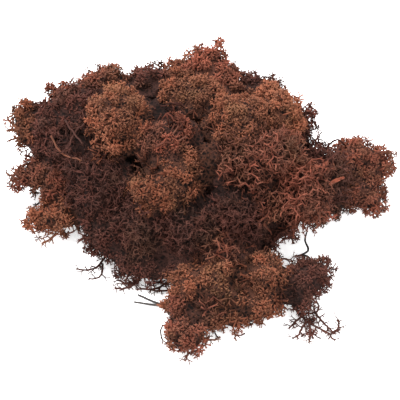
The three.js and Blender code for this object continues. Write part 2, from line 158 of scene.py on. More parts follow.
class Thallus:
    """A mesh of closed tubes under construction.

    Each point carries its rise, from 0 at the foot of a sprig to 1 at its tips.
    """

    def __init__(self) -> None:
        """Starts with no points."""
        self.points: list[Vector] = []
        self.faces: list[tuple[int, ...]] = []
        self.rises: list[float] = []

    def tube(
        self, path: Sequence[Vector], radii: Sequence[float], rises: Sequence[float], sides: int = 3
    ) -> None:
        """Adds a closed tube along a path. A last radius of 0 closes it in a point.

        Args:
            path: the points of its centreline.
            radii: its radius at each point.
            rises: the rise at each point.
            sides: how many sides it has.
        """
        start = len(self.points)
        across = sideways((path[-1] - path[0]).normalized())
        pointed = radii[-1] == 0
        rings = len(path) - 1 if pointed else len(path)
        for k in range(rings):
            ahead = (path[min(k + 1, len(path) - 1)] - path[max(k - 1, 0)]).normalized()
            across = (across - ahead * across.dot(ahead)).normalized()
            up = ahead.cross(across)
            for side in range(sides):
                turn = 2 * math.pi * side / sides
                offset = across * math.cos(turn) + up * math.sin(turn)
                self.points.append(path[k] + offset * radii[k])
                self.rises.append(rises[k])
        self.faces.append(tuple(start + side for side in reversed(range(sides))))
        for k in range(rings - 1):
            low = start + k * sides
            for side in range(sides):
                other = (side + 1) % sides
                self.faces.append((low + side, low + other, low + sides + other, low + sides + side))
        last = start + (rings - 1) * sides
        if pointed:
            self.points.append(path[-1])
            self.rises.append(rises[-1])
            for side in range(sides):
                self.faces.append((last + side, last + (side + 1) % sides, len(self.points) - 1))
        else:
            self.faces.append(tuple(last + side for side in range(sides)))

    def star(self, centre: Vector, axis: Vector, prongs: int, length: float, thickness: float,
             splay: float, rng: random.Random, rise: float = 0.8) -> None:
        """Adds the little star of prongs at the end of a branch.

        Args:
            centre: the end of the branch.
            axis: its direction there.
            prongs: how many points the star has.
            length: the length of a prong.
            thickness: the radius at a prong's foot.
            splay: the angle between a prong and the axis, in radians.
            rng: the source of its turn and of the prongs' lengths.
            rise: the rise at the prongs' feet.
        """
        across = sideways(axis)
        start = rng.uniform(0, 2 * math.pi)
        for k in range(prongs):
            turn = Quaternion(axis, start + 2 * math.pi * (k + rng.uniform(-0.2, 0.2)) / prongs)
            lean = splay * rng.uniform(0.75, 1.2)
            direction = axis * math.cos(lean) + (turn @ across) * math.sin(lean)
            tip = centre + direction * (length * rng.uniform(0.75, 1.2))
            self.tube([centre - direction * thickness * 0.5, tip], [thickness, 0], [rise, 1])

    def mesh(self, name: str) -> Mesh:
        """The finished mesh, with its rise as an attribute of its points.

        Args:
            name: the mesh's name.

        Returns:
            The mesh, of smooth faces.
        """
        made = bpy.data.meshes.new(name)
        made.from_pydata([tuple(p) for p in self.points], [], self.faces)
        made.attributes.new("rise", "FLOAT", "POINT").data.foreach_set("value", self.rises)
        made.polygons.foreach_set("use_smooth", [True] * len(made.polygons))
        return made


@dataclass(frozen=True)
class CrownSprig:
    """A sprig that ends in a rounded crown of star tips, as on a cushion's surface.

    The crown's top is a little above the origin and the foot lies below it, on -Z.
    """

    radius: float = 3.1 * MM
    proud: float = 0.4 * MM
    foot: float = 7.0 * MM
    ends: int = 11
    prongs: int = 3
    widest: float = math.radians(106)
    arms: int = 4
    splay: float = math.radians(52)
    prong_share: float = 0.33
    stem: float = 0.48 * MM
    prong: float = 0.3 * MM
    arm_spread: float = math.radians(62)
    jitter: float = 0.2

    def mesh(self, name: str, rng: random.Random) -> Mesh:
        """Grows one sprig: a stem, arms, ends on the crown, and a star on each end.

        Args:
            name: the mesh's name.
            rng: the source of its shape.

        Returns:
            The sprig's mesh.
        """
        grown = Thallus()
        centre = Vector((0, 0, self.proud - self.radius))
        foot = Vector((rng.uniform(-1, 1) * MM, rng.uniform(-1, 1) * MM, -self.foot))
        middle = (foot + centre) / 2 + random_unit(rng) * 0.5 * MM
        grown.tube([foot, middle, centre], [self.stem, self.stem * 0.9, self.stem * 0.75], [0, 0.2, 0.35])
        arms = cap_directions(self.arms, self.arm_spread, rng, self.jitter)
        hubs = [centre + a * self.radius * rng.uniform(0.36, 0.48) for a in arms]
        for hub in hubs:
            grown.tube([centre, hub], [self.stem * 0.7, self.stem * 0.6], [0.35, 0.55])
        for out in cap_directions(self.ends, self.widest, rng, self.jitter):
            end = centre + out * self.radius * rng.uniform(0.6, 0.86)
            hub = min(hubs, key=lambda h: (h - end).length)
            grown.tube([hub, end], [self.stem * 0.58, self.prong * 1.1], [0.55, 0.8])
            grown.star(end, out, self.prongs, self.radius * self.prong_share, self.prong, self.splay, rng)
        return grown.mesh(name)


@dataclass(frozen=True)
class NetSprig:
    """A sprig of long arching stems with side branches, as where the moss is open."""

    reach: float = 7.2 * MM
    foot: float = 4.6 * MM
    stems: int = 4
    forks: int = 3
    prongs: int = 2
    stem: float = 0.46 * MM
    twig: float = 0.32 * MM
    prong: float = 0.25 * MM
    arch: float = 1.0 * MM
    droop: float = 0.9 * MM
    end_prong: float = 1.3 * MM
    end_splay: float = math.radians(42)
    side_prong: float = 1.2 * MM
    side_splay: float = math.radians(45)

    def mesh(self, name: str, rng: random.Random) -> Mesh:
        """Grows one sprig: arched stems from one foot, each with forked side branches.

        Args:
            name: the mesh's name.
            rng: the source of its shape.

        Returns:
            The sprig's mesh.
        """
        grown = Thallus()
        foot = Vector((0, 0, -self.foot))
        start = rng.uniform(0, 2 * math.pi)
        for k in range(self.stems):
            turn = start + 2 * math.pi * (k + rng.uniform(-0.3, 0.3)) / self.stems
            flat = Vector((math.cos(turn), math.sin(turn), 0))
            reach = self.reach * rng.uniform(0.7, 1.15)
            bend = flat.cross(UP) * rng.uniform(-0.4, 0.4) * reach
            top = UP * self.arch * rng.uniform(-0.5, 1.3)
            path = [foot, foot * 0.4 + flat * reach * 0.16, top + flat * reach * 0.52 + bend * 0.4,
                    top - UP * self.droop + flat * reach + bend]
            out = (path[3] - path[2]).normalized()
            grown.tube(path, [self.stem, self.stem * 0.9, self.stem * 0.75, self.twig],
                       [0.05, 0.3, 0.55, 0.75])
            grown.star(path[-1], out, self.prongs, self.end_prong, self.prong, self.end_splay, rng, 0.75)
            for fork in range(self.forks):
                self.side_branch(grown, path, (fork + rng.uniform(0.5, 0.9)) / self.forks, rng)
        return grown.mesh(name)

    def side_branch(self, grown: Thallus, path: Sequence[Vector], share: float, rng: random.Random) -> None:
        """Adds one forked side branch.

        Args:
            grown: the mesh that it is added to.
            path: the points of the stem.
            share: where it leaves the stem, from 0 at the foot to 1 at the end.
            rng: the source of its bends.
        """
        along = share * (len(path) - 1)
        step = min(int(along), len(path) - 2)
        root = path[step].lerp(path[step + 1], along - step)
        ahead = (path[step + 1] - path[step]).normalized()
        out = (ahead * 0.55 + random_unit(rng) * 0.75 + UP * 0.35).normalized()
        length = self.reach * rng.uniform(0.24, 0.42)
        elbow = root + out * length * 0.5
        end = elbow + (out + random_unit(rng) * 0.55).normalized() * length * 0.5
        rise = 0.3 + 0.45 * share
        grown.tube([root, elbow, end], [self.stem * 0.66, self.twig, self.prong],
                   [rise, rise + 0.15, 0.8])
        grown.star(end, (end - elbow).normalized(), self.prongs, self.side_prong, self.prong,
                   self.side_splay, rng)


@dataclass(frozen=True)
class UnderSprig:
    """A bare, sparse sprig of the dark inside of the moss."""

    reach: float = 4.6 * MM
    foot: float = 2.0 * MM
    stems: int = 4
    stem: float = 0.5 * MM
    twig: float = 0.34 * MM
    spread: float = math.radians(80)
    jitter: float = 0.35
    prong: float = 1.3 * MM
    splay: float = 0.8

    def mesh(self, name: str, rng: random.Random) -> Mesh:
        """Grows one sprig: bent stems that each end in a star.

        Args:
            name: the mesh's name.
            rng: the source of its shape.

        Returns:
            The sprig's mesh.
        """
        grown = Thallus()
        foot = Vector((0, 0, -self.foot))
        for out in cap_directions(self.stems, self.spread, rng, self.jitter):
            elbow = foot + out * self.reach * 0.5 + random_unit(rng) * 0.6 * MM
            end = foot + out * self.reach * rng.uniform(0.8, 1.2)
            grown.tube([foot, elbow, end], [self.stem, self.stem * 0.8, self.twig], [0.1, 0.35, 0.6])
            grown.star(end, (end - elbow).normalized(), 3, self.prong, self.twig, self.splay, rng, 0.6)
        return grown.mesh(name)


# --- node trees ----------------------------------------------------------------------------


class Tree:
    """A geometry or shader node group under construction, with named inputs and outputs."""

    def __init__(self, name: str, kind: str) -> None:
        """Starts the group with its input and output nodes.

        Args:
            name: the group's name.
            kind: GeometryNodeTree or ShaderNodeTree.
        """
        self.group = bpy.data.node_groups.new(name, kind)
        self.entry = self.group.nodes.new("NodeGroupInput")
        self.exit = self.group.nodes.new("NodeGroupOutput")

    def takes(self, name: str, kind: str, value: object = None) -> Socket:
        """Adds a named input.

        Args:
            name: its name.
            kind: what it holds: Geometry, Float, Color and so on.
            value: the value that it has until another is set.

        Returns:
            The socket that gives its value inside the group.
        """
        socket = self.group.interface.new_socket(name, in_out="INPUT", socket_type=f"NodeSocket{kind}")
        if value is not None:
            socket.default_value = value
        return self.entry.outputs[name]

    def takes_object(self, name: str) -> Socket:
        """Adds a named input for an object, and returns the socket with its geometry."""
        return self.add("GeometryNodeObjectInfo", {"Object": self.takes(name, "Object")}).outputs["Geometry"]

    def gives(self, name: str, kind: str, source: Socket) -> None:
        """Adds a named output, fed by a socket."""
        self.group.interface.new_socket(name, in_out="OUTPUT", socket_type=f"NodeSocket{kind}")
        self.group.links.new(source, self.exit.inputs[name])

    def add(self, kind: str, inputs: dict | None = None, **settings: object) -> Node:
        """Adds a node to the group. See add_node."""
        return add_node(self.group, kind, inputs, **settings)

    def math(self, operation: str, *values: object) -> Socket:
        """Adds a node of arithmetic, and returns its result."""
        return self.add("ShaderNodeMath", dict(enumerate(values)), operation=operation).outputs[0]

    def vector(self, operation: str, *values: object, **named: object) -> Socket:
        """Adds a node of vector arithmetic, and returns its result."""
        inputs = {**dict(enumerate(values)), **named}
        return self.add("ShaderNodeVectorMath", inputs, operation=operation).outputs[0]

    def noise(self, scale: float, detail: float = 2.0, **named: object) -> Node:
        """Adds a noise texture."""
        return self.add("ShaderNodeTexNoise", {"Scale": scale, "Detail": detail, **named})

    def ranged(self, value: Socket, start: float, end: float, low: float = 0.0, high: float = 1.0,
               smooth: bool = False) -> Socket:
        """Adds a node that maps a value from one range to another, and holds it there.

        Args:
            value: the value.
            start: where its range starts.
            end: where its range ends.
            low: what the start becomes.
            high: what the end becomes.
            smooth: whether it eases in and out.

        Returns:
            The socket with the new value.
        """
        inputs = {"Value": value, "From Min": start, "From Max": end, "To Min": low, "To Max": high}
        easing = "SMOOTHSTEP" if smooth else "LINEAR"
        return self.add("ShaderNodeMapRange", inputs, interpolation_type=easing).outputs[0]

    def mixed(self, share: Socket, first: object, second: object, kind: str = "RGBA") -> Socket:
        """Adds a node that mixes two colours or numbers, and returns the mixture."""
        node = self.add("ShaderNodeMix", {"Factor": share, "A": first, "B": second}, data_type=kind)
        return live(node.outputs, "Result")

    def drawn(self, least: object, most: object, seed: Socket, kind: str = "FLOAT") -> Socket:
        """Adds a node that draws a random value for each point, and returns it."""
        inputs = {"Min": least, "Max": most, "Seed": seed}
        return live(self.add("FunctionNodeRandomValue", inputs, data_type=kind).outputs, "Value")

    def stored(self, source: Socket, name: str, value: Socket, domain: str = "POINT") -> Socket:
        """Adds a node that keeps a number with a geometry under a name, and returns the geometry."""
        inputs = {"Geometry": source, "Name": name, "Value": value}
        return self.add("GeometryNodeStoreNamedAttribute", inputs, domain=domain).outputs[0]

    def moved(self, source: Socket, offset: Socket) -> Socket:
        """Adds a node that moves a geometry's points, and returns the geometry."""
        return self.add("GeometryNodeSetPosition", {"Geometry": source, "Offset": offset}).outputs[0]

    def cells(self, place: Socket, scale: object) -> Socket:
        """Adds a texture of cells, and returns how far each place lies from a cell's edge."""
        inputs = {"Vector": place, "Scale": scale}
        return self.add("ShaderNodeTexVoronoi", inputs, feature="DISTANCE_TO_EDGE").outputs["Distance"]


def add_node(tree: Group, kind: str, inputs: dict | None = None, **settings: object) -> Node:
    """Adds a node, sets it and feeds it.

    Args:
        tree: the tree that it goes in.
        kind: the node's type.
        inputs: its inputs by name or number, each a value or the socket that feeds it.
        settings: its properties, set before its inputs.

    Returns:
        The new node.
    """
    node = tree.nodes.new(kind)
    for name, value in settings.items():
        setattr(node, name, value)
    for name, value in (inputs or {}).items():
        socket = node.inputs[name] if isinstance(name, int) else live(node.inputs, name)
        if isinstance(value, Socket):
            tree.links.new(value, socket)
        else:
            socket.default_value = value
    return node


def live(sockets: Iterable[Socket], name: str) -> Socket:
    """The socket of that name that is in use, where a node has one for each data type."""
    return next(s for s in sockets if s.name == name and s.enabled)


def placed(name: str, data: bpy.types.ID) -> Object:
    """Makes an object and puts it in the scene, at the origin.

    Args:
        name: its name.
        data: its mesh, lamp or camera.

    Returns:
        The object.
    """
    made = bpy.data.objects.new(name, data)
    bpy.context.scene.collection.objects.link(made)
    return made


def run_tree(tree: Group, mesh: Mesh, values: dict[str, object]) -> Mesh:
    """Runs a geometry tree on a mesh.

    Args:
        tree: the tree.
        mesh: the mesh that it starts from.
        values: the values of its inputs, by name.

    Returns:
        The result as a plain mesh.
    """
    carrier = placed("carrier", mesh)
    modifier = carrier.modifiers.new("nodes", "NODES")
    modifier.node_group = tree
    for socket in tree.interface.items_tree:
        if socket.in_out == "INPUT" and socket.name in values:
            modifier[socket.identifier] = values[socket.name]
    depsgraph = bpy.context.evaluated_depsgraph_get()
    made = bpy.data.meshes.new_from_object(
        carrier.evaluated_get(depsgraph), preserve_all_data_layers=True, depsgraph=depsgraph
    )
    carrier.modifiers.clear()
    bpy.data.objects.remove(carrier)
    return made


def distance_field(tree: Tree, source: Socket, voxel: Socket, band: int = 3) -> Socket:
    """Adds the node that turns a closed surface into a grid of distances, known for a few cells from it."""
    inputs = {"Mesh": source, "Voxel Size": voxel, "Band Width": band}
    return tree.add("GeometryNodeMeshToSDFGrid", inputs).outputs[0]


def offset_surface(tree: Tree, source: Socket, distance: Socket, voxel: Socket, band: int = 7) -> Socket:
    """Adds the nodes that move a closed surface out by a distance, or in where it is negative."""
    grid = distance_field(tree, source, voxel, band)
    return tree.add("GeometryNodeGridToMesh", {"Grid": grid, "Threshold": distance}).outputs[0]


def combined(tree: Tree, first: Socket, second: Socket, voxel: Socket, operation: str) -> Socket:
    """Adds the nodes that intersect two closed surfaces, or take the second from the first.

    Args:
        tree: the tree that they go in.
        first: the surface that is cut.
        second: the surface that cuts it.
        voxel: the size of the grids' cells.
        operation: INTERSECT or DIFFERENCE.

    Returns:
        The socket with the surface that is left.
    """
    boolean = tree.add("GeometryNodeSDFGridBoolean", operation=operation)
    place = "Grid 2" if operation == "INTERSECT" else "Grid 1"
    tree.group.links.new(distance_field(tree, first, voxel), boolean.inputs[place])
    tree.group.links.new(distance_field(tree, second, voxel), boolean.inputs["Grid 2"])
    return tree.add("GeometryNodeGridToMesh", {"Grid": boolean.outputs[0], "Threshold": 0.0}).outputs[0]


def shaken(tree: Tree, source: Socket, scale: float, distance: float | Socket) -> Socket:
    """Adds the nodes that shake a surface out of its even shape.

    Args:
        tree: the tree that they go in.
        source: the surface.
        scale: the noise's scale, in lumps a metre.
        distance: how far its strongest values move a point.

    Returns:
        The socket with the uneven surface.
    """
    centred = tree.vector("SUBTRACT", tree.noise(scale).outputs["Color"], (0.5, 0.5, 0.5))
    return tree.moved(source, tree.vector("SCALE", centred, Scale=distance))


def offset_tree() -> Group:
    """The tree that moves a closed surface out, or in, by one distance.

    Returns:
        The tree, which takes a Voxel and a Distance.
    """
    tree = Tree("moss_offset", "GeometryNodeTree")
    source = tree.takes("Geometry", "Geometry")
    voxel = tree.takes("Voxel", "Float", 1.6 * MM)
    distance = tree.takes("Distance", "Float", 0.0)
    tree.gives("Geometry", "Geometry", offset_surface(tree, source, distance, voxel))
    return tree.group


def carving_tree() -> Group:
    """The tree that takes the hollows out of the clump's skin.

    Returns:
        The tree, which takes the Hollows and a Voxel.
    """
    tree = Tree("moss_carving", "GeometryNodeTree")
    source = tree.takes("Geometry", "Geometry")
    hollows = tree.takes_object("Hollows")
    voxel = tree.takes("Voxel", "Float", 1.6 * MM)
    tree.gives("Geometry", "Geometry", combined(tree, source, hollows, voxel, "DIFFERENCE"))
    return tree.group


def lumping_tree() -> Group:
    """The tree that breaks up a surface in rounded lumps with creases between them.

    Returns:
        The tree, which takes a Shake, the Lumps a metre, a Crease and a Swelling.
    """
    tree = Tree("moss_lumping", "GeometryNodeTree")
    source = tree.takes("Geometry", "Geometry")
    shake = tree.takes("Shake", "Float", 5.0 * MM)
    lumps = tree.takes("Lumps", "Float", 100.0)
    crease = tree.takes("Crease", "Float", 2.4 * MM)
    swelling = tree.takes("Swelling", "Float", 0.9 * MM)
    place = tree.add("GeometryNodeInputPosition").outputs[0]
    bent = tree.vector("MULTIPLY_ADD", tree.noise(60.0).outputs["Color"], (0.01, 0.01, 0.01), place)
    depth = tree.ranged(tree.cells(bent, lumps), 0.0, 0.3, -1.0, 0.0, smooth=True)
    sunk = tree.math("MULTIPLY_ADD", depth, crease, swelling)
    normal = tree.add("GeometryNodeInputNormal").outputs[0]
    lumpy = tree.moved(source, tree.vector("SCALE", normal, Scale=sunk))
    tree.gives("Geometry", "Geometry", shaken(tree, lumpy, 190.0, shake))
    return tree.group


def wrapping_tree() -> Group:
    """The tree that wraps solids in one surface: narrow gaps close up, and what is thin drops away.

    Returns:
        The tree, which takes a Voxel, a Reach out, a way Back in, a Regrow and a Shake.
    """
    tree = Tree("moss_wrapping", "GeometryNodeTree")
    solid = tree.takes("Geometry", "Geometry")
    voxel = tree.takes("Voxel", "Float", 1.5 * MM)
    reach = tree.takes("Reach", "Float", 5.0 * MM)
    back = tree.takes("Back", "Float", -6.2 * MM)
    regrow = tree.takes("Regrow", "Float", 2.2 * MM)
    shake = tree.takes("Shake", "Float", 5.0 * MM)
    surface = tree.add("GeometryNodeMergeByDistance", {"Geometry": solid, "Distance": 0.01 * MM}).outputs[0]
    for distance in (reach, back, regrow):
        surface = offset_surface(tree, surface, distance, voxel)
    tree.gives("Geometry", "Geometry", shaken(tree, surface, 120.0, shake))
    return tree.group


def scatter(tree: Tree, surface: Socket, layer: str, density: str) -> Socket:
    """Adds the nodes that scatter one layer of sprigs over a surface.

    Args:
        tree: the tree that they go in.
        surface: the surface.
        layer: the layer's name, which its inputs start with.
        density: the attribute that says how thickly it grows, from 0 to 1.

    Returns:
        The socket with the sprigs as instances.
    """
    sprigs = tree.takes(f"{layer} Sprigs", "Collection")
    spacing = tree.takes(f"{layer} Spacing", "Float", 5 * MM)
    crowd = tree.takes(f"{layer} Crowd", "Float", 1.0e5)
    size = tree.takes(f"{layer} Size", "Float", 1.0)
    tilt = tree.takes(f"{layer} Tilt", "Float", 0.3)
    seed = tree.takes(f"{layer} Seed", "Int", 1)
    share = tree.add("GeometryNodeInputNamedAttribute", {"Name": density}, data_type="FLOAT")
    points = tree.add(
        "GeometryNodeDistributePointsOnFaces",
        {"Mesh": surface, "Distance Min": spacing, "Density Max": crowd,
         "Density Factor": live(share.outputs, "Attribute"), "Seed": seed},
        distribute_method="POISSON",
    )
    lowest = tree.math("MULTIPLY", tilt, -1.0)
    down = tree.add("ShaderNodeCombineXYZ", {"X": lowest, "Y": lowest, "Z": 0.0}).outputs[0]
    up = tree.add("ShaderNodeCombineXYZ", {"X": tilt, "Y": tilt, "Z": 2 * math.pi}).outputs[0]
    lean = tree.add("FunctionNodeEulerToRotation", {0: tree.drawn(down, up, seed, "FLOAT_VECTOR")})
    rotation = tree.add(
        "FunctionNodeRotateRotation",
        {"Rotation": points.outputs["Rotation"], "Rotate By": lean.outputs[0]}, rotation_space="LOCAL",
    )
    small, large = (tree.math("MULTIPLY", size, share) for share in (0.78, 1.2))
    kinds = tree.add("GeometryNodeCollectionInfo",
                     {"Collection": sprigs, "Separate Children": True, "Reset Children": True})
    instances = tree.add(
        "GeometryNodeInstanceOnPoints",
        {"Points": points.outputs["Points"], "Instance": kinds.outputs[0], "Pick Instance": True,
         "Instance Index": tree.drawn(0, 1000, seed, "INT"), "Rotation": rotation.outputs[0],
         "Scale": tree.drawn(small, large, seed)},
    )
    return tree.stored(instances.outputs[0], "tone", tree.drawn(0.0, 1.0, seed), "INSTANCE")


def tuft_tree() -> Group:
    """The tree that grows a tuft: crowns over its share of the skin, bare sprigs, and a heart.

    Returns:
        The tree, which takes the objects Envelope, Inside, Strands and Hollows, the two layers'
        inputs, a Voxel, a Margin, a colour strength and a Finish. It paints the heart darker near the
        Hollows, as painted shade.
    """
    tree = Tree("tuft_growth", "GeometryNodeTree")
    skin = tree.takes("Geometry", "Geometry")
    envelope, inside, strands, hollows = (
        tree.takes_object(name) for name in ("Envelope", "Inside", "Strands", "Hollows")
    )
    voxel = tree.takes("Voxel", "Float", 2.3 * MM)
    margin = tree.takes("Margin", "Float", 3.0 * MM)
    dye = tree.takes("Dye", "Float", 1.0)
    finish = tree.takes("Finish", "Material")
    crowns = scatter(tree, skin, "Crown", "open")
    under = scatter(tree, skin, "Under", "sheltered")
    domain = offset_surface(tree, envelope, margin, voxel, 3)
    heart = shaken(tree, combined(tree, inside, domain, voxel, "INTERSECT"), 320.0, 4.0 * MM)
    # Painted shade: the heart is darkened near the hollows.
    from_hollow = tree.add("GeometryNodeProximity", {0: hollows}).outputs["Distance"]
    lit = tree.ranged(from_hollow, SHADE_START, SHADE_END, DEEPEST_SHADE)
    shaded = tree.stored(heart, "dye", tree.math("MULTIPLY", lit, dye))
    whole = tree.add("GeometryNodeJoinGeometry")
    for part in (crowns, under, shaded, tree.stored(strands, "dye", dye)):
        tree.group.links.new(part, whole.inputs[0])
    real = tree.add("GeometryNodeRealizeInstances", {"Geometry": whole.outputs[0]}).outputs[0]
    place = tree.add("GeometryNodeInputPosition").outputs[0]
    lifted = tree.vector("MAXIMUM", place, (-1.0, -1.0, TABLE_CLEARANCE))
    settled = tree.add("GeometryNodeSetPosition", {"Geometry": real, "Position": lifted}).outputs[0]
    finished = tree.add("GeometryNodeSetMaterial", {"Geometry": settled, "Material": finish}).outputs[0]
    tree.gives("Geometry", "Geometry", finished)
    return tree.group


# --- finishes ------------------------------------------------------------------------------


def srgb(red: float, green: float, blue: float) -> tuple[float, float, float, float]:
    """A colour in linear light, from its 0 to 255 values on a screen."""
    linear = [c / 255 / 12.92 if c <= 10 else ((c / 255 + 0.055) / 1.055) ** 2.4 for c in (red, green, blue)]
    return (*linear, 1.0)


# Painted shade: the near-black brown that fills the heart between its strands, standing for the shadowy depth
# inside the moss.
HOLLOW_SHADE = srgb(21, 13, 11)
PIGMENTS = ("Deep", "Body", "Tip", "Flush", "Faded")
# The last mark is the colour strength, which also carries painted shade and painted light.
GROWTH_MARKS = ("Rise", "Tone", "Dye")


def pigment_group() -> Group:
    """The shader group that colours dyed lichen: dark feet, paler tips, patches of more or less colour, and
    painted shade.

    Returns:
        The group. It takes five colours and the attributes Rise, Tone and the colour strength, which is
        partly painted shade and painted light.
    """
    tree = Tree("lichen_pigment", "ShaderNodeTree")
    deep, body, tip, flush, faded = (tree.takes(name, "Color") for name in PIGMENTS)
    rise, tone, dye = (tree.takes(name, "Float") for name in GROWTH_MARKS)
    place = tree.add("ShaderNodeTexCoord").outputs["Object"]
    patches, grain = (tree.noise(scale, Vector=place).outputs[0] for scale in (75.0, 2600.0))
    speckle = tree.noise(420.0, Vector=place)
    age = tree.noise(48.0, 3.0, Vector=place).outputs[0]
    lower = tree.mixed(tree.ranged(rise, 0.05, 0.75, smooth=True), deep, body)
    uneven = tree.math("MULTIPLY_ADD", speckle.outputs[0], 0.5, rise)
    upper = tree.mixed(tree.ranged(uneven, 0.85, 1.3, smooth=True), lower, tip)
    drift = tree.math("MULTIPLY_ADD", tone, 0.35, patches)
    flushed = tree.mixed(tree.ranged(drift, 0.5, 0.95, high=0.6), upper, flush)
    old = tree.ranged(age, 0.52, 0.68, high=0.5, smooth=True)
    mottled = tree.mixed(tree.math("MULTIPLY", old, rise), flushed, faded)
    bent = tree.vector("MULTIPLY_ADD", speckle.outputs["Color"], (0.004, 0.004, 0.004), place)
    net = tree.ranged(tree.cells(bent, 430.0), 0.0, 0.28, 0.7, 0.0, smooth=True)
    is_sprig = tree.math("GREATER_THAN", rise, 0.004)
    # Painted shade: the heart is near-black between a net of body-coloured strands.
    chosen = tree.mixed(is_sprig, tree.mixed(net, HOLLOW_SHADE, body), mottled)
    fleck = tree.ranged(grain, 0.3, 0.7, 0.86, 1.1)
    shade = tree.math("MULTIPLY", tree.ranged(tone, 0.0, 1.0, 0.76, 1.2), fleck)
    # The colour strength is partly real, partly painted shade where the moss is hidden or near a hollow, and
    # partly painted light on some low tufts.
    level = tree.math("MULTIPLY", shade, dye)
    tree.gives("Colour", "Color", tree.vector("SCALE", chosen, Scale=level))
    tree.gives("Grain", "Float", tree.mixed(is_sprig, net, grain, "FLOAT"))
    return tree.group


def started_material(name: str, roughness: float) -> tuple[Material, Node]:
    """Starts a material.

    Args:
        name: its name.
        roughness: how rough it is.

    Returns:
        The material and its shader.
    """
    made = bpy.data.materials.new(name)
    made.use_nodes = True
    shader = made.node_tree.nodes["Principled BSDF"]
    shader.inputs["Roughness"].default_value = roughness
    return made, shader


def add_bump(tree: Group, height: Socket, strength: float, shader: Node) -> None:
    """Gives a shader a fine bump, of a tenth of a millimetre."""
    bump = add_node(tree, "ShaderNodeBump", {"Height": height, "Strength": strength, "Distance": 0.1 * MM})
    tree.links.new(bump.outputs[0], shader.inputs["Normal"])


@dataclass(frozen=True)
class MossFinish:
    """The finish of dyed, dried lichen.

    Colours are screen values from 0 to 255, from the dark feet of the branches to their tips.
    """

    slot: str
    deep: tuple[int, int, int]
    body: tuple[int, int, int]
    tip: tuple[int, int, int]
    flush: tuple[int, int, int]
    faded: tuple[int, int, int]
    roughness: float = 0.88
    gloss: float = 0.1
    bump: float = 0.35

    def material(self, pigment: Group) -> Material:
        """Builds the material round the shared pigment group.

        Args:
            pigment: the group.

        Returns:
            The material, named after its slot.
        """
        made, shader = started_material(self.slot, self.roughness)
        shader.inputs["Specular IOR Level"].default_value = self.gloss
        colour = add_node(made.node_tree, "ShaderNodeGroup", node_tree=pigment)
        for name in PIGMENTS:
            colour.inputs[name].default_value = srgb(*getattr(self, name.lower()))
        links = made.node_tree.links
        for name in GROWTH_MARKS:
            mark = add_node(made.node_tree, "ShaderNodeAttribute", attribute_name=name.lower())
            links.new(mark.outputs["Fac"], colour.inputs[name])
        links.new(colour.outputs["Colour"], shader.inputs["Base Color"])
        add_bump(made.node_tree, colour.outputs["Grain"], self.bump, shader)
        return made


TAN = MossFinish("moss_tan", (38, 24, 19), (93, 57, 43), (132, 86, 64), (119, 63, 43), (110, 82, 58))
RUST = MossFinish("moss_rust", (34, 21, 18), (82, 50, 40), (116, 73, 57), (111, 56, 42), (96, 69, 50))
UMBER = MossFinish("moss_umber", (28, 18, 15), (56, 34, 29), (82, 51, 43), (74, 39, 32), (78, 56, 43))
FINISHES = {finish.slot: finish for finish in (TAN, RUST, UMBER)}


# --- tufts ---------------------------------------------------------------------------------


@dataclass(frozen=True)
class Growth:
    """How thickly and how large the sprigs of a habit grow."""

    crown: str
    spacing: float
    tilt: float
    heart: float
    under_spacing: float = 3.6 * MM


GROWTHS = {
    Habit.CUSHION: Growth("crown", 3.4 * MM, 0.3, 3.4 * MM),
    Habit.LOOSE: Growth("tangle", 3.4 * MM, 0.35, 5.5 * MM),
    Habit.NET: Growth("net", 4.0 * MM, 0.25, 6.5 * MM),
    Habit.BED: Growth("loose", 4.6 * MM, 0.5, 4.0 * MM, 5.0 * MM),
}
SPRIGS = {
    "crown": CrownSprig(),
    "loose": CrownSprig(radius=3.6 * MM, ends=10, prong_share=0.3, widest=math.radians(115),
                        splay=math.radians(55), prong=0.28 * MM, foot=7.5 * MM),
    "net": NetSprig(),
    "tangle": NetSprig(reach=5.2 * MM, foot=4.2 * MM, stem=0.38 * MM, twig=0.28 * MM, prong=0.23 * MM,
                       arch=1.4 * MM),
    "under": UnderSprig(),
}
# Each tuft's colour strength. Some values are real differences of tone; the high ones on the low tufts under
# overhangs (bed_front, bed_left, bed_right, right_low_knob) are painted light, brightening moss that lies in
# shade.
DYE_AND_LIGHT_LEVELS = {
    "back_dark": 1.35, "back_left_knob": 1.15, "back_mid": 1.5, "back_red": 1.2, "back_right": 1.4,
    "bed_front": 2.1, "bed_left": 1.6, "bed_right": 2.4, "bright_head": 1.06, "centre_pocket": 0.9,
    "crown": 1.5, "front_dome_low": 0.92, "front_foot": 1.12, "front_head": 0.84, "front_skirt": 1.2,
    "front_wisp": 1.45, "left_back": 1.2, "left_knob": 0.82, "left_low": 0.82, "left_shoulder": 1.15,
    "mid_strands": 1.1, "right_dome": 1.28, "right_ear": 1.5, "right_lobe_end": 1.2,
    "right_lobe_low": 1.2, "right_lobe_under": 1.3, "right_lobe_upper": 1.2, "right_low_knob": 2.0,
    "right_root": 1.12,
}
NET_TUFTS = ("open_net", "open_net_low", "left_hollow", "front_bridge", "right_root")
LOOSE_TUFTS = ("front_left_mass", "front_mass", "front_mid_mass", "mid_right_mass")
SLIM_TUFTS = ("front_left_low", "front_skirt", "front_wisp", "front_foot")
CLOSE_TUFTS = (
    ("front_dome", "front_dome_low", "front_mid", "front_left", "front_foot"),
    ("right_lobe_upper", "right_lobe_end", "right_lobe_low", "right_lobe_under", "right_root"),
)


def habit_of(name: str) -> Habit:
    """How a tuft grows.

    Args:
        name: the tuft's name.

    Returns:
        Its habit.
    """
    if name.startswith("bed_"):
        return Habit.BED
    if name in NET_TUFTS:
        return Habit.NET
    return Habit.LOOSE if name in LOOSE_TUFTS else Habit.CUSHION


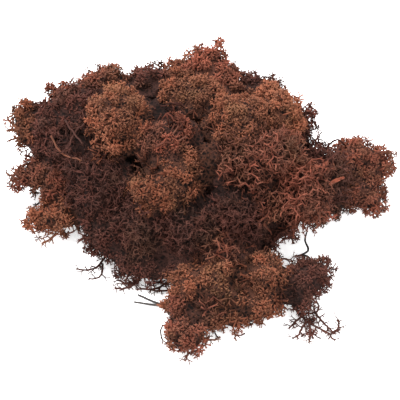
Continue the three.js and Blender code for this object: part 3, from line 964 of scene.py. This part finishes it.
class SprigStock:
    """The sprigs that are scattered, a few grown of each kind, each kind in a collection."""

    def __init__(self, kinds: int, seed: int) -> None:
        """Grows the sprigs.

        Args:
            kinds: how many are grown of each kind.
            seed: the seed of the first one.
        """
        self.collections: dict[str, bpy.types.Collection] = {}
        for number, (kind, sprig) in enumerate(SPRIGS.items()):
            held = bpy.data.collections.new(f"sprigs_{kind}")
            bpy.context.scene.collection.children.link(held)
            for k in range(kinds):
                rng = random.Random(seed + SPRIG_SEED_STEP * number + k)
                name = f"{kind}_{k}"
                held.objects.link(bpy.data.objects.new(name, sprig.mesh(name, rng)))
            self.collections[kind] = held

    def clear(self) -> None:
        """Takes the sprigs out of the scene, once they are scattered."""
        for held in self.collections.values():
            for sprig in list(held.objects):
                bpy.data.objects.remove(sprig)
            bpy.data.collections.remove(held)


def joined_mesh(meshes: Sequence[Mesh]) -> Mesh:
    """One mesh of the points and faces of several.

    Args:
        meshes: the meshes.

    Returns:
        The new mesh.
    """
    points: list[Vector] = []
    faces: list[tuple[int, ...]] = []
    for mesh in meshes:
        start = len(points)
        points.extend(v.co.copy() for v in mesh.vertices)
        faces.extend(tuple(start + i for i in p.vertices) for p in mesh.polygons)
    made = bpy.data.meshes.new("joined")
    made.from_pydata(points, [], faces)
    return made


def tree_of(mesh: Mesh) -> BVHTree:
    """The tree that finds a mesh's faces."""
    corners = [v.co.copy() for v in mesh.vertices]
    return BVHTree.FromPolygons(corners, [tuple(p.vertices) for p in mesh.polygons])


HOLLOW_OVERHANG = 0.7
HOLLOW_TAPER = 0.55
# Each hollow's path and its radius, in millimetres.
HOLLOWS = (
    (((-48, 11, 44), (-41, 12, 42), (-35, 12, 39)), 4.5),
    (((4, 11, 51), (4, 5, 50), (5, -2, 47)), 6.6),
    (((5, -2, 47), (6, -6, 41), (5, -9, 36)), 5.6),
    (((8, -11, 38), (15, -15, 41), (24, -17, 40)), 5.2),
    (((2, -19, 38), (-6, -26, 39)), 4.2),
    (((-64, -5, 36), (-64, -9, 33), (-63, -9, 28)), 4.4),
    (((-62, -7, 14), (-61, -10, 12), (-57, -19, 18)), 4.0),
    (((44, -18, 25), (38, -20, 21), (33, -24, 17)), 2.6),
    (((-19, 26, 54), (-18, 16, 57), (-13, 11, 60)), 4.6),
    (((0, 26, 54), (5, 25, 54)), 3.4),
    (((20, -49, 24), (20, -55, 22)), 4.2),
    (((-3, -64, 15), (-3, -71, 17)), 3.4),
    (((6, -66, 18), (14, -68, 15), (21, -71, 14)), 3.2),
    (((44, -57, 18), (44, -61, 14)), 3.4),
    (((-68, 22, 45), (-62, 21, 44), (-60, 19, 41)), 4.0),
    (((-32, -3, 48), (-28, -7, 52), (-24, -7, 53)), 5.4),
    (((35, -12, 42), (36, -14, 40)), 4.0),
)


def hollow_mesh() -> Mesh:
    """The hollows between the tufts, as rods that narrow at their ends. They are carved out of the skin, and
    the colour near them is painted darker, as painted shade.

    Returns:
        One mesh of closed tubes.
    """
    grown = Thallus()
    for path, radius in HOLLOWS:
        line = [Vector(p) * MM for p in path]
        first = (line[0] - line[1]).normalized() * radius * MM * HOLLOW_OVERHANG
        last = (line[-1] - line[-2]).normalized() * radius * MM * HOLLOW_OVERHANG
        points = [line[0] + first, *line, line[-1] + last]
        narrow = radius * HOLLOW_TAPER * MM
        radii = [narrow, *(radius * MM for _ in line), narrow]
        grown.tube(points, radii, [0.0] * len(points), 12)
    return grown.mesh("hollows")


def hollow_distances(points: np.ndarray) -> np.ndarray:
    """How far points lie outside the nearest hollow.

    Args:
        points: one point a row, in metres.

    Returns:
        The distances in metres, negative within a hollow.
    """
    nearest = np.full(len(points), np.inf)
    for path, radius in HOLLOWS:
        line = np.array(path) * MM
        for start, end in zip(line[:-1], line[1:]):
            along = end - start
            share = np.clip((points - start) @ along / (along @ along), 0, 1)
            away = np.linalg.norm(points - start - share[:, None] * along, axis=1)
            nearest = np.minimum(nearest, away - radius * MM)
    return nearest


@dataclass
class Skin:
    """The outer surface of the whole clump, and how open to the air each place on it is."""

    tufts: Sequence["Tuft"]
    reach: float = 40 * MM
    lift: float = 1.2 * MM
    rays: int = 34
    grazing: float = 0.15
    downward: float = -0.1
    voxel: float = 1.6 * MM
    coarse_voxel: float = 2.4 * MM
    group_gaps: float = 4.0 * MM
    narrow_gaps: float = 2.4 * MM
    wide_gaps: float = 7.0 * MM
    filling_depth: float = 6.0 * MM
    seam: float = 1.2 * MM
    rim: float = 2.8 * MM
    hidden: float = 0.02
    half_open: float = 0.1
    underside: float = -0.3
    level_growth: float = 1.3
    steep_growth: float = 0.5
    hollow_growth: tuple[float, float] = (0.8, 0.2)
    # Painted shade: the colour's level where the sky is hidden and its gain with open sky, then its level in
    # a hollow and its gain away from one.
    sky_shade: tuple[float, float] = (0.64, 0.85)
    hollow_shade: tuple[float, float] = (0.52, 0.48)

    def __post_init__(self) -> None:
        """Joins the envelopes of wrapped tufts: first those that grow close together, then all."""
        self.tree = offset_tree()
        self.hearts: dict[float, Object] = {}
        every = joined_mesh([t.envelope for t in self.tufts])
        groups = [joined_mesh([t.envelope for t in self.tufts if t.name in names]) for names in CLOSE_TUFTS]
        groups = [self.closed(group, self.group_gaps, self.voxel) for group in groups]
        smooth = self.closed(joined_mesh([every, *groups]), self.narrow_gaps, self.voxel)
        self.hollows = placed("hollows", hollow_mesh())
        self.carved = run_tree(carving_tree(), smooth, {"Hollows": self.hollows})
        self.whole = run_tree(lumping_tree(), self.carved.copy(), {})
        self.filling = self.closed(self.carved, self.wide_gaps, self.coarse_voxel, self.filling_depth)
        owners = [number for number, t in enumerate(self.tufts) for _ in t.envelope.polygons]
        nearest = tree_of(every)
        self.owners = [owners[nearest.find_nearest(p.center)[2]] for p in self.whole.polygons]
        self.hull = tree_of(self.whole)
        self.sky = cap_directions(self.rays, math.pi, random.Random(SKY_SEED), 0.0)
        # How much sky each place sees: it sets where crowns grow, and the painted shade of the colour.
        self.shares = [self.openness(v.co, v.normal) for v in self.whole.vertices]
        self.facing = [v.normal.z for v in self.whole.vertices]
        points = np.array([v.co for v in self.whole.vertices])
        self.clear_of_hollows = np.clip(hollow_distances(points) / self.rim, 0, 1)

    def offset(self, mesh: Mesh, distance: float, voxel: float) -> Mesh:
        """A closed surface moved out by a distance, or in where it is negative."""
        return run_tree(self.tree, mesh, {"Voxel": voxel, "Distance": distance})

    def closed(self, mesh: Mesh, gap: float, voxel: float, depth: float = 0.0) -> Mesh:
        """A surface with its gaps closed.

        Args:
            mesh: the surface.
            gap: half the width of the widest gap that closes.
            voxel: the size of the cells that it is worked out in.
            depth: how far inwards it is moved as well.

        Returns:
            The surface that is left.
        """
        return self.offset(self.offset(mesh, gap, voxel), -gap - depth, voxel)

    def heart(self, depth: float) -> Object:
        """The inside of the clump. It is made once for each depth.

        Args:
            depth: how far under the skin it starts.

        Returns:
            An object of its surface.
        """
        if depth not in self.hearts:
            inner = joined_mesh([self.offset(self.carved, -depth, self.voxel), self.filling])
            self.hearts[depth] = placed("inside", self.closed(inner, self.seam, self.coarse_voxel))
        return self.hearts[depth]

    def clear(self) -> None:
        """Takes the insides and the hollows out of the scene, once the tufts are grown."""
        for made in (*self.hearts.values(), self.hollows):
            bpy.data.objects.remove(made)

    def openness(self, point: Vector, normal: Vector) -> float:
        """The share of the sky over a surface that isn't hidden by other moss or the table.

        Args:
            point: the place on the surface.
            normal: the way that the surface faces there.

        Returns:
            The share, from 0 to 1.
        """
        start = point + normal * self.lift
        seen = total = 0.0
        for ray in self.sky:
            facing = ray.dot(normal)
            if facing < self.grazing:
                continue
            total += facing
            if ray.z < self.downward and start.z < -ray.z * self.reach:
                continue
            if self.hull.ray_cast(start, ray, self.reach)[0] is None:
                seen += facing
        return seen / total if total else 0.0

    def height(self, point: Vector) -> float:
        """The height of the highest moss over a point of the table."""
        hit = self.hull.ray_cast(Vector((point.x, point.y, 1.0)), -UP)[0]
        return hit.z if hit else 0.0

    def patch(self, number: int, dye: float) -> Mesh:
        """The part of the skin that lies nearest to one tuft.

        Args:
            number: the tuft's place in the list that the skin was made from.
            dye: how strong the tuft's colour is, raised on some low tufts as painted light.

        Returns:
            A mesh that says on each point how thickly crowns and bare sprigs grow there, and how
            strong their colour is: the tuft's strength times painted shade, darker where the moss is hidden
            from the sky and near the hollows.
        """
        chosen = [p for p, owner in zip(self.whole.polygons, self.owners) if owner == number]
        used = sorted({i for p in chosen for i in p.vertices})
        place = {old: new for new, old in enumerate(used)}
        made = bpy.data.meshes.new(f"patch_{number}")
        made.from_pydata([self.whole.vertices[i].co.copy() for i in used], [],
                         [tuple(place[i] for i in p.vertices) for p in chosen])
        shares = np.array([self.shares[i] for i in used])
        facing = np.array([self.facing[i] for i in used])
        outside = self.clear_of_hollows[used]
        crowns = np.clip((shares - self.hidden) / self.half_open, 0, 1) * outside
        least, more = self.hollow_growth
        bare = (1 - crowns) * (least + more * outside)
        shaded_level, sky_gain = self.sky_shade
        dark, clear = self.hollow_shade
        layers = {
            "open": crowns * np.clip(self.level_growth + facing, self.steep_growth, 1),
            "sheltered": np.where(facing > self.underside, bare, 0.0),
            # Painted shade: the colour is darker where the sky is hidden and near the hollows.
            "dye": dye * np.clip(shaded_level + sky_gain * shares, 0, 1) * (dark + clear * outside),
        }
        for name, values in layers.items():
            made.attributes.new(name, "FLOAT", "POINT").data.foreach_set("value", values)
        return made


@dataclass
class Tuft:
    """One tuft of the clump: the solid of that name, grown out in fine sprigs."""

    name: str
    finish: MossFinish
    habit: Habit
    seed: int
    voxel: float = 1.5 * MM
    full: float = 7.5 * MM
    slim: float = 4.5 * MM
    fringe: float = 1.0 * MM
    regrow: float = 2.4 * MM
    shake: float = 5.0 * MM
    thin_heart: float = 2.6 * MM
    crowd: float = 4.0
    envelope: Mesh | None = field(default=None, repr=False)

    def wrap(self, tree: Group) -> None:
        """Takes the tuft's envelope from its solid.

        Args:
            tree: the tree that wraps it.
        """
        solid = frame["nodes"][self.name].data.copy()
        reach = self.slim if self.name in SLIM_TUFTS else self.full
        values = {"Voxel": self.voxel, "Reach": reach, "Back": -reach - self.fringe,
                  "Regrow": self.regrow, "Shake": self.shake}
        self.envelope = run_tree(tree, solid, values)
        bpy.data.meshes.remove(solid)

    def lying(self) -> Object:
        """The single strands that grow from this tuft.

        Returns:
            One object with all of them.
        """
        grown = Thallus()
        for number, strand in enumerate(s for s in STRANDS if s.tuft == self.name):
            strand.draw(grown, random.Random(self.seed + STRAND_SEED_STEP * number))
        return placed(f"{self.name}_strands", grown.mesh(f"{self.name}_strands"))

    def grow(self, number: int, skin: Skin, tree: Group, stock: SprigStock,
             material: Material) -> Mesh:
        """Grows the tuft.

        Args:
            number: its place in the list that the skin was made from.
            skin: the clump's skin.
            tree: the tree that grows it.
            stock: the sprigs that are scattered.
            material: its material.

        Returns:
            The tuft as one mesh.
        """
        growth = GROWTHS[self.habit]
        # The tuft's colour strength, with painted light on some low tufts.
        dye = DYE_AND_LIGHT_LEVELS.get(self.name, 1.0)
        depth = self.thin_heart if self.name.startswith("front_") else growth.heart
        strands = self.lying()
        envelope = placed(f"{self.name}_envelope", self.envelope)
        values = {
            "Crown Sprigs": stock.collections[growth.crown],
            "Crown Spacing": growth.spacing,
            "Crown Crowd": self.crowd / growth.spacing**2,
            "Crown Tilt": growth.tilt,
            "Crown Seed": self.seed,
            "Under Sprigs": stock.collections["under"],
            "Under Spacing": growth.under_spacing,
            "Under Crowd": self.crowd / growth.under_spacing**2,
            "Under Seed": self.seed + 1,
            "Inside": skin.heart(depth),
            "Hollows": skin.hollows,
            "Envelope": envelope,
            "Strands": strands,
            "Dye": dye,
            "Finish": material,
        }
        made = run_tree(tree, skin.patch(number, dye), values)
        for spent in (strands, envelope):
            bpy.data.objects.remove(spent)
        return made


# --- loose pieces --------------------------------------------------------------------------


def smooth_path(points: Sequence[Vector], steps: int) -> list[Vector]:
    """A smooth line through points.

    Args:
        points: the points that it passes through.
        steps: how many stretches lie between each two of them.

    Returns:
        The points of a Catmull-Rom curve.
    """
    ends = [points[0] * 2 - points[1], *points, points[-1] * 2 - points[-2]]
    line = []
    for k in range(1, len(ends) - 2):
        before, start, end, after = ends[k - 1 : k + 3]
        for step in range(steps):
            t = step / steps
            line.append(
                (start * 2 + (end - before) * t + (before * 2 - start * 5 + end * 4 - after) * t * t
                 + (start * 3 - before - end * 3 + after) * t**3) / 2
            )
    return [*line, points[-1].copy()]


@dataclass(frozen=True)
class Strand:
    """A single branch that stands out, feathery or bare. Its path is in millimetres."""

    tuft: str
    path: tuple[Point, ...]
    foot: float = 0.75 * MM
    tip: float = 0.3 * MM
    spacing: float = 2.6 * MM
    branch: float = 5.2 * MM
    rise: float = 0.55
    waver: float = 0.3 * MM
    prong: float = 1.6 * MM
    lowest: float = 0.6 * MM

    def draw(self, grown: Thallus, rng: random.Random) -> None:
        """Draws the strand and its side branches.

        Args:
            grown: the mesh that they are added to.
            rng: the source of their bends.
        """
        line = smooth_path([Vector(p) * MM for p in self.path], 4)
        wavy = [line[0]] + [p + random_unit(rng) * self.waver for p in line[1:]]
        count = len(wavy) - 1
        radii = [self.foot + (self.tip - self.foot) * k / count for k in range(count + 1)]
        grown.tube(wavy, radii, [self.rise + 0.25 * k / count for k in range(count + 1)], 5)
        grown.star(wavy[-1], (wavy[-1] - wavy[-2]).normalized(), 3, self.prong, self.tip, 0.7, rng)
        side = rng.choice((-1, 1))
        travelled = 0.0
        for k in range(count):
            travelled += (wavy[k + 1] - wavy[k]).length
            if travelled < self.spacing * rng.uniform(0.7, 1.3):
                continue
            travelled = 0.0
            side = -side
            ahead = (wavy[k + 1] - wavy[k]).normalized()
            across = ahead.cross(UP) * side
            self.branch_off(grown, wavy[k + 1], (ahead * 0.7 + across).normalized(), radii[k + 1] * 0.7, rng)

    def branch_off(
        self, grown: Thallus, root: Vector, out: Vector, thickness: float, rng: random.Random
    ) -> None:
        """Draws one side branch, which forks and ends in little stars.

        Args:
            grown: the mesh that it is added to.
            root: where it leaves the strand.
            out: the way that it leaves.
            thickness: its radius there.
            rng: the source of its bends.
        """
        length = self.branch * rng.uniform(0.6, 1.25)
        elbow = root + out * length * 0.45 + UP * rng.uniform(-0.2, 1.4) * MM
        for fork in (-1, 1):
            turned = (out + out.cross(UP) * 0.55 * fork + random_unit(rng) * 0.3).normalized()
            end = elbow + turned * length * rng.uniform(0.4, 0.65)
            end.z = max(end.z, self.lowest)
            grown.tube([root, elbow, end], [thickness, thickness * 0.85, thickness * 0.65], [0.6, 0.7, 0.8])
            axis = (end - elbow).normalized()
            grown.star(end, axis, rng.choice((2, 3)), self.prong, thickness * 0.65, 0.65, rng)


SPRAY = {"foot": 0.7 * MM, "tip": 0.45 * MM, "spacing": 1.2 * MM, "branch": 3.2 * MM}
FEATHER = {"foot": 0.65 * MM, "tip": 0.42 * MM, "spacing": 2.0 * MM, "branch": 4.2 * MM}
BARE = {"foot": 0.6 * MM, "tip": 0.42 * MM, "spacing": 60 * MM, "rise": 0.5}
TWIG_LIKE = {"foot": 0.5 * MM, "tip": 0.4 * MM, "spacing": 60 * MM, "rise": 0.1}
STRANDS = tuple(
    Strand(tuft, path, **style)
    for tuft, style, paths in (
        ("front_left_low", FEATHER, (
            ((-45, -22, 4), (-52, -32, 2.5), (-58, -33, 1.6), (-62, -32, 1.5)),
            ((-49, -30, 3), (-50, -37, 1.6), (-55, -39, 1.5)),
        )),
        ("front_skirt", SPRAY, (
            ((-28, -38, 3), (-35, -42, 2), (-41, -40, 1.8)),
            ((-30, -40, 2.6), (-36, -44.5, 1.8), (-42, -45, 1.6)),
            ((-14, -41, 3), (-22, -45, 2), (-31, -45.5, 1.6)),
            ((-8, -44, 2.6), (-16, -46.5, 1.8), (-24, -46, 1.5)),
        )),
        ("front_wisp", SPRAY, (
            ((46, -55, 5), (49, -61.5, 3), (52, -62, 2.6), (58, -60, 2.4), (59, -56, 3)),
            ((50, -61, 2.8), (53, -66, 2.2), (57, -69, 2), (63, -73, 1.6), (66, -77, 1.4)),
            ((57, -61, 2.4), (60, -65, 2), (63, -69, 1.8), (66, -73, 1.6)),
            ((65, -73, 1.6), (68.5, -70, 2), (68.6, -66, 3)),
            ((52, -62, 2.6), (47.5, -66, 2), (44, -69.5, 1.5)),
            ((53, -66, 2.2), (50, -71, 1.8), (49, -74, 1.5), (46, -75.5, 1.3)),
            ((54, -67, 2), (54.5, -74, 1.6), (54, -78.5, 1.3)),
        )),
        ("front_foot", TWIG_LIKE, (
            ((-12, -69, 4), (-18.5, -69.5, 3), (-19, -75, 2), (-18.3, -79, 1.8)),
            ((2, -66, 6), (5.5, -71, 3), (9, -76, 1.6)),
        )),
        ("front_foot", SPRAY, (
            ((-6, -82, 6), (-6, -88, 4), (-7, -91, 3)),
            ((-2, -78, 7), (4, -80, 5), (8, -79.5, 5)),
        )),
        ("front_dome", FEATHER, (((37, -32, 6), (42.5, -28, 4.5), (46, -29, 4)),)),
        ("left_knob", SPRAY, (
            ((-90, 36, 31), (-96, 35, 31), (-99, 34, 31)),
            ((-90, 33, 29), (-95, 31, 28), (-97.5, 31, 27)),
        )),
        ("left_tip", SPRAY, (((-91, 15, 20), (-96, 13.5, 20), (-98, 14, 21)),)),
        ("left_front_knob", SPRAY, (((-72, -15, 9), (-76, -17, 6), (-79, -18, 5)),)),
        ("right_lobe_end", SPRAY, (((90, 22, 28), (95, 22, 29), (97.5, 19, 28)),)),
        ("right_root", BARE, (((63, 21, 29), (66, 23, 34.2), (69.5, 24.5, 35.2), (73, 24.5, 32)),)),
        ("bright_head", BARE, (((-75, 22, 41), (-72, 13.6, 41.5), (-67, 8, 41.5), (-60, 2, 46)),)),
        ("left_hollow", BARE, (
            ((-68, 29, 45), (-64, 19, 48), (-59, 10, 50)),
            ((-58, 22, 50), (-63, 18, 48), (-66, 10, 45)),
        )),
        ("mid_strands", BARE, (
            ((-22, 1, 57), (-17, 3, 58.5), (-11, 10, 61)),
            ((-17, 3, 58.5), (-13, 3, 58), (-7, 6, 58.5)),
        )),
    )
    for path in paths
)


@dataclass(frozen=True)
class WoodFinish:
    """The finish of a dry needle, twig or leaf."""

    slot: str
    dark: tuple[int, int, int]
    light: tuple[int, int, int]
    roughness: float
    streaks: float = 900.0
    bump: float = 0.5

    def material(self) -> Material:
        """Builds the material: streaks of two shades, and a fine bump.

        Returns:
            The material.
        """
        made, shader = started_material(f"{self.slot}_bark", self.roughness)
        tree = made.node_tree
        place = add_node(tree, "ShaderNodeTexCoord").outputs["Object"]
        grain = {"Vector": place, "Scale": self.streaks, "Detail": 3.0}
        streaks = add_node(tree, "ShaderNodeTexNoise", grain)
        shades = {"Factor": streaks.outputs[0], "A": srgb(*self.dark), "B": srgb(*self.light)}
        mixed = add_node(tree, "ShaderNodeMix", shades, data_type="RGBA")
        tree.links.new(live(mixed.outputs, "Result"), shader.inputs["Base Color"])
        add_bump(tree, streaks.outputs[0], self.bump, shader)
        return made


NEEDLE = WoodFinish("needle", (12, 9, 8), (40, 29, 24), 0.7)
TWIG = WoodFinish("twig", (14, 10, 10), (38, 28, 26), 0.75)
DRY_LEAF = WoodFinish("moss_tan", (98, 44, 27), (142, 68, 40), 0.8)


@dataclass(frozen=True)
class Rod:
    """One needle or twig, along a path in millimetres."""

    path: tuple[Point, ...]
    radii: tuple[float, ...]
    stubs: int = 0
    steps: int = 5

    def draw(self, grown: Thallus, rng: random.Random) -> None:
        """Draws the rod, with short broken stubs where it has any.

        Args:
            grown: the mesh that it is added to.
            rng: the source of the stubs.
        """
        line = smooth_path([Vector(p) * MM for p in self.path], self.steps)
        last = len(self.radii) - 1
        radii = []
        for k in range(len(line)):
            along = last * k / (len(line) - 1)
            step = min(int(along), last - 1)
            radii.append((self.radii[step] + (self.radii[step + 1] - self.radii[step]) * (along - step)) * MM)
        grown.tube(line, radii, [0.5] * len(line), 8)
        for _ in range(self.stubs):
            k = rng.randrange(2, len(line) - 2)
            out = ((line[k + 1] - line[k]).normalized() * 0.6 + random_unit(rng)).normalized()
            grown.tube([line[k], line[k] + out * rng.uniform(1.2, 2.6) * MM],
                       [radii[k] * 0.7, radii[k] * 0.35], [0.5, 0.5], 6)


@dataclass(frozen=True)
class Litter:
    """A bit of forest litter that is caught in the moss."""

    node: str
    finish: WoodFinish
    rods: tuple[Rod, ...]

    def mesh(self, seed: int) -> Mesh:
        """Draws its rods and dresses them.

        Args:
            seed: the seed of each rod's stubs.

        Returns:
            One mesh with its material.
        """
        grown = Thallus()
        for rod in self.rods:
            rod.draw(grown, random.Random(seed))
        made = grown.mesh(self.node)
        made.materials.append(self.finish.material())
        return made


LITTER = (
    Litter("pine_needles", NEEDLE, (
        Rod(((-6, -56, 8), (-18, -55, 1.6), (-31, -48.5, 1.1)), (0.62, 0.62, 0.5)),
        Rod(((-6, -56, 8), (-18, -55.5, 1.6), (-33, -53, 1.1)), (0.62, 0.62, 0.5)),
    )),
    Litter("bent_twig", TWIG, (
        Rod(((47.5, -26, 4), (52, -26, 4.5), (55, -29, 6), (58, -38, 8)), (0.5, 0.6, 0.6, 0.5), 1),
        Rod(((50, -26.2, 4.3), (54.5, -23, 5), (53, -17, 5.5), (54, -12, 6.5)), (0.6, 0.55, 0.5, 0.35), 1),
    )),
    Litter("dark_twig", TWIG, (Rod(((-70, 6, 9), (-80, 6, 9), (-87, 0, 7)), (0.75, 0.65, 0.3), 4),)),
)


@dataclass(frozen=True)
class LeafScrap:
    """A curled scrap of dry leaf caught on the moss."""

    name: str
    finish: WoodFinish
    centre: tuple[float, float]
    length: float
    width: float
    turn: float
    curl: float = 0.35
    thickness: float = 0.25 * MM
    rows: int = 11
    lift: float = 1.2 * MM

    def mesh(self, skin: Skin) -> Mesh:
        """Draws the scrap, laid on the highest moss at its place, and dresses it.

        Args:
            skin: the clump's skin.

        Returns:
            The mesh of a closed curled blade, with its material.
        """
        middle = Vector((self.centre[0] * MM, self.centre[1] * MM, 0))
        middle.z = skin.height(middle) + self.lift
        along = Vector((math.cos(self.turn), math.sin(self.turn), 0.1)).normalized()
        across = along.cross(UP).normalized()
        rng = random.Random(len(self.name))
        top = []
        for k in range(self.rows):
            share = k / (self.rows - 1)
            half = self.width / 2 * math.sin(math.pi * (0.06 + 0.88 * share)) ** 0.7 * rng.uniform(0.8, 1.1)
            spine = middle + along * (share - 0.5) * self.length
            spine.z += self.curl * self.width * math.sin(math.pi * share * 1.3)
            for side in (-1, 0, 1):
                lift = UP * self.width * self.curl * abs(side) * rng.uniform(0.5, 1.1)
                top.append(spine + across * half * side + lift)
        rows, width = self.rows, 3
        bottom = [p - UP * self.thickness for p in top]
        count = len(top)
        faces = []
        for row in range(rows - 1):
            for column in range(width - 1):
                a = row * width + column
                quad = (a, a + 1, a + width + 1, a + width)
                faces.append(quad[::-1])
                faces.append(tuple(count + i for i in quad))
        rim = [r * width for r in range(rows)] + [(rows - 1) * width + c for c in (1, 2)]
        rim += [r * width + width - 1 for r in range(rows - 2, -1, -1)] + [1]
        for k, point in enumerate(rim):
            after = rim[(k + 1) % len(rim)]
            faces.append((point, after, count + after, count + point))
        made = bpy.data.meshes.new(self.name)
        made.from_pydata([tuple(p) for p in top + bottom], [], faces)
        made.materials.append(self.finish.material())
        return made


LEAF = LeafScrap("orange_leaf_scrap", DRY_LEAF, (68.0, -3.0), 10.5 * MM, 2.2 * MM, math.radians(32))


# --- the scene -----------------------------------------------------------------------------


@dataclass(frozen=True)
class Studio:
    """The floor, the light and the camera."""

    target: Point = (0.0, -10.95 * MM, 30.0 * MM)
    elevation: float = math.radians(50)
    view_width: float = 200 * MM
    distance: float = 1.6
    sensor: float = 36.0
    floor_size: float = 6.0
    floor_glow: float = 0.5
    room_light: float = 1.6
    key_place: Point = (-0.45, 0.35, 1.15)
    fill_place: Point = (0.5, -1.0, 0.8)

    def floor(self) -> None:
        """Lays the plain pale floor."""
        half = self.floor_size / 2
        mesh = bpy.data.meshes.new("floor")
        corners = [(-half, -half, 0), (half, -half, 0), (half, half, 0), (-half, half, 0)]
        mesh.from_pydata(corners, [], [(0, 1, 2, 3)])
        made, shader = started_material("floor", 0.9)
        shader.inputs["Base Color"].default_value = (0.95, 0.95, 0.95, 1)
        shader.inputs["Emission Color"].default_value = (1, 1, 1, 1)
        shader.inputs["Emission Strength"].default_value = self.floor_glow
        mesh.materials.append(made)
        placed("floor", mesh)

    def light(self) -> None:
        """Hangs a broad soft lamp over the clump, a weaker one in front, and lights the room."""
        world = bpy.data.worlds.new("studio")
        world.use_nodes = True
        background = world.node_tree.nodes["Background"]
        background.inputs["Color"].default_value = (1, 1, 1, 1)
        background.inputs["Strength"].default_value = self.room_light
        bpy.context.scene.world = world
        self.lamp("key", self.key_place, size=0.7, watts=36.0)
        self.lamp("fill", self.fill_place, size=0.9, watts=10.0)

    def lamp(self, name: str, place: Point, size: float, watts: float) -> None:
        """Hangs a square lamp that faces the clump.

        Args:
            name: its name.
            place: where it hangs, in metres.
            size: the length of its sides.
            watts: its power.
        """
        data = bpy.data.lights.new(name, "AREA")
        data.size = size
        data.energy = watts
        lamp = placed(name, data)
        lamp.location = place
        lamp.rotation_mode = "QUATERNION"
        lamp.rotation_quaternion = (Vector(self.target) - Vector(place)).to_track_quat("-Z", "Y")

    def camera(self) -> None:
        """Sets up the camera, with a long lens, looking down on the clump from the front."""
        data = bpy.data.cameras.new("camera")
        data.sensor_width = self.sensor
        data.lens = self.sensor * self.distance / self.view_width
        data.clip_end = 20
        camera = placed("camera", data)
        back = Vector((0, -math.cos(self.elevation), math.sin(self.elevation)))
        camera.location = Vector(self.target) + back * self.distance
        camera.rotation_mode = "QUATERNION"
        camera.rotation_quaternion = (-back).to_track_quat("-Z", "Y")
        bpy.context.scene.camera = camera

    def build(self) -> None:
        """Builds the studio."""
        self.floor()
        self.light()
        self.camera()
        bpy.context.scene.view_settings.view_transform = "Standard"


def slot_of(name: str) -> str:
    """The material slot of a CAD node, which its own material is named after."""
    return frame["nodes"][name].data.materials[0].name.split(".")[0]


def show(name: str, mesh: Mesh, replaced: str | None = None) -> None:
    """Puts a finished mesh in the scene as a piece of the clump, and logs it.

    Args:
        name: the piece's name.
        mesh: its mesh.
        replaced: the solid that it stands for, if any.
    """
    piece = placed(name, mesh)
    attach(piece, BODY)
    if replaced is not None:
        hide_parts(replaced)
    log.info("%s: %d triangles", name, sum(len(p.vertices) - 2 for p in mesh.polygons))


def grow_moss() -> Skin:
    """Grows every tuft.

    Returns:
        The skin that the loose pieces lie on.
    """
    tufts = [
        Tuft(name, FINISHES[slot_of(name)], habit_of(name), FIRST_SEED + SEED_STEP * number)
        for number, name in enumerate(sorted(frame["nodes"]))
        if slot_of(name) in FINISHES
    ]
    pigment = pigment_group()
    materials = {slot: finish.material(pigment) for slot, finish in FINISHES.items()}
    wrapping = wrapping_tree()
    for tuft in tufts:
        tuft.wrap(wrapping)
    skin = Skin(tufts)
    log.info("skin: %d faces", len(skin.whole.polygons))
    stock = SprigStock(SPRIGS_A_KIND, SPRIG_SEED)
    growing = tuft_tree()
    for number, tuft in enumerate(tufts):
        mesh = tuft.grow(number, skin, growing, stock, materials[tuft.finish.slot])
        show(f"{tuft.name}_moss", mesh, tuft.name)
    stock.clear()
    skin.clear()
    return skin


def add_loose_pieces(skin: Skin) -> None:
    """Adds the needles, the twigs and the scrap of leaf.

    Args:
        skin: the clump's skin, which the scrap lies on.
    """
    for number, piece in enumerate(LITTER):
        show(f"{piece.node}_fine", piece.mesh(LITTER_SEED + number), piece.node)
    show(LEAF.name, LEAF.mesh(skin))


def main() -> None:
    """Builds the studio and every piece of the clump, in order."""
    logging.basicConfig(level=logging.INFO, format="%(message)s")
    Studio().build()
    skin = grow_moss()
    add_loose_pieces(skin)


if __name__ == "__main__":
    main()
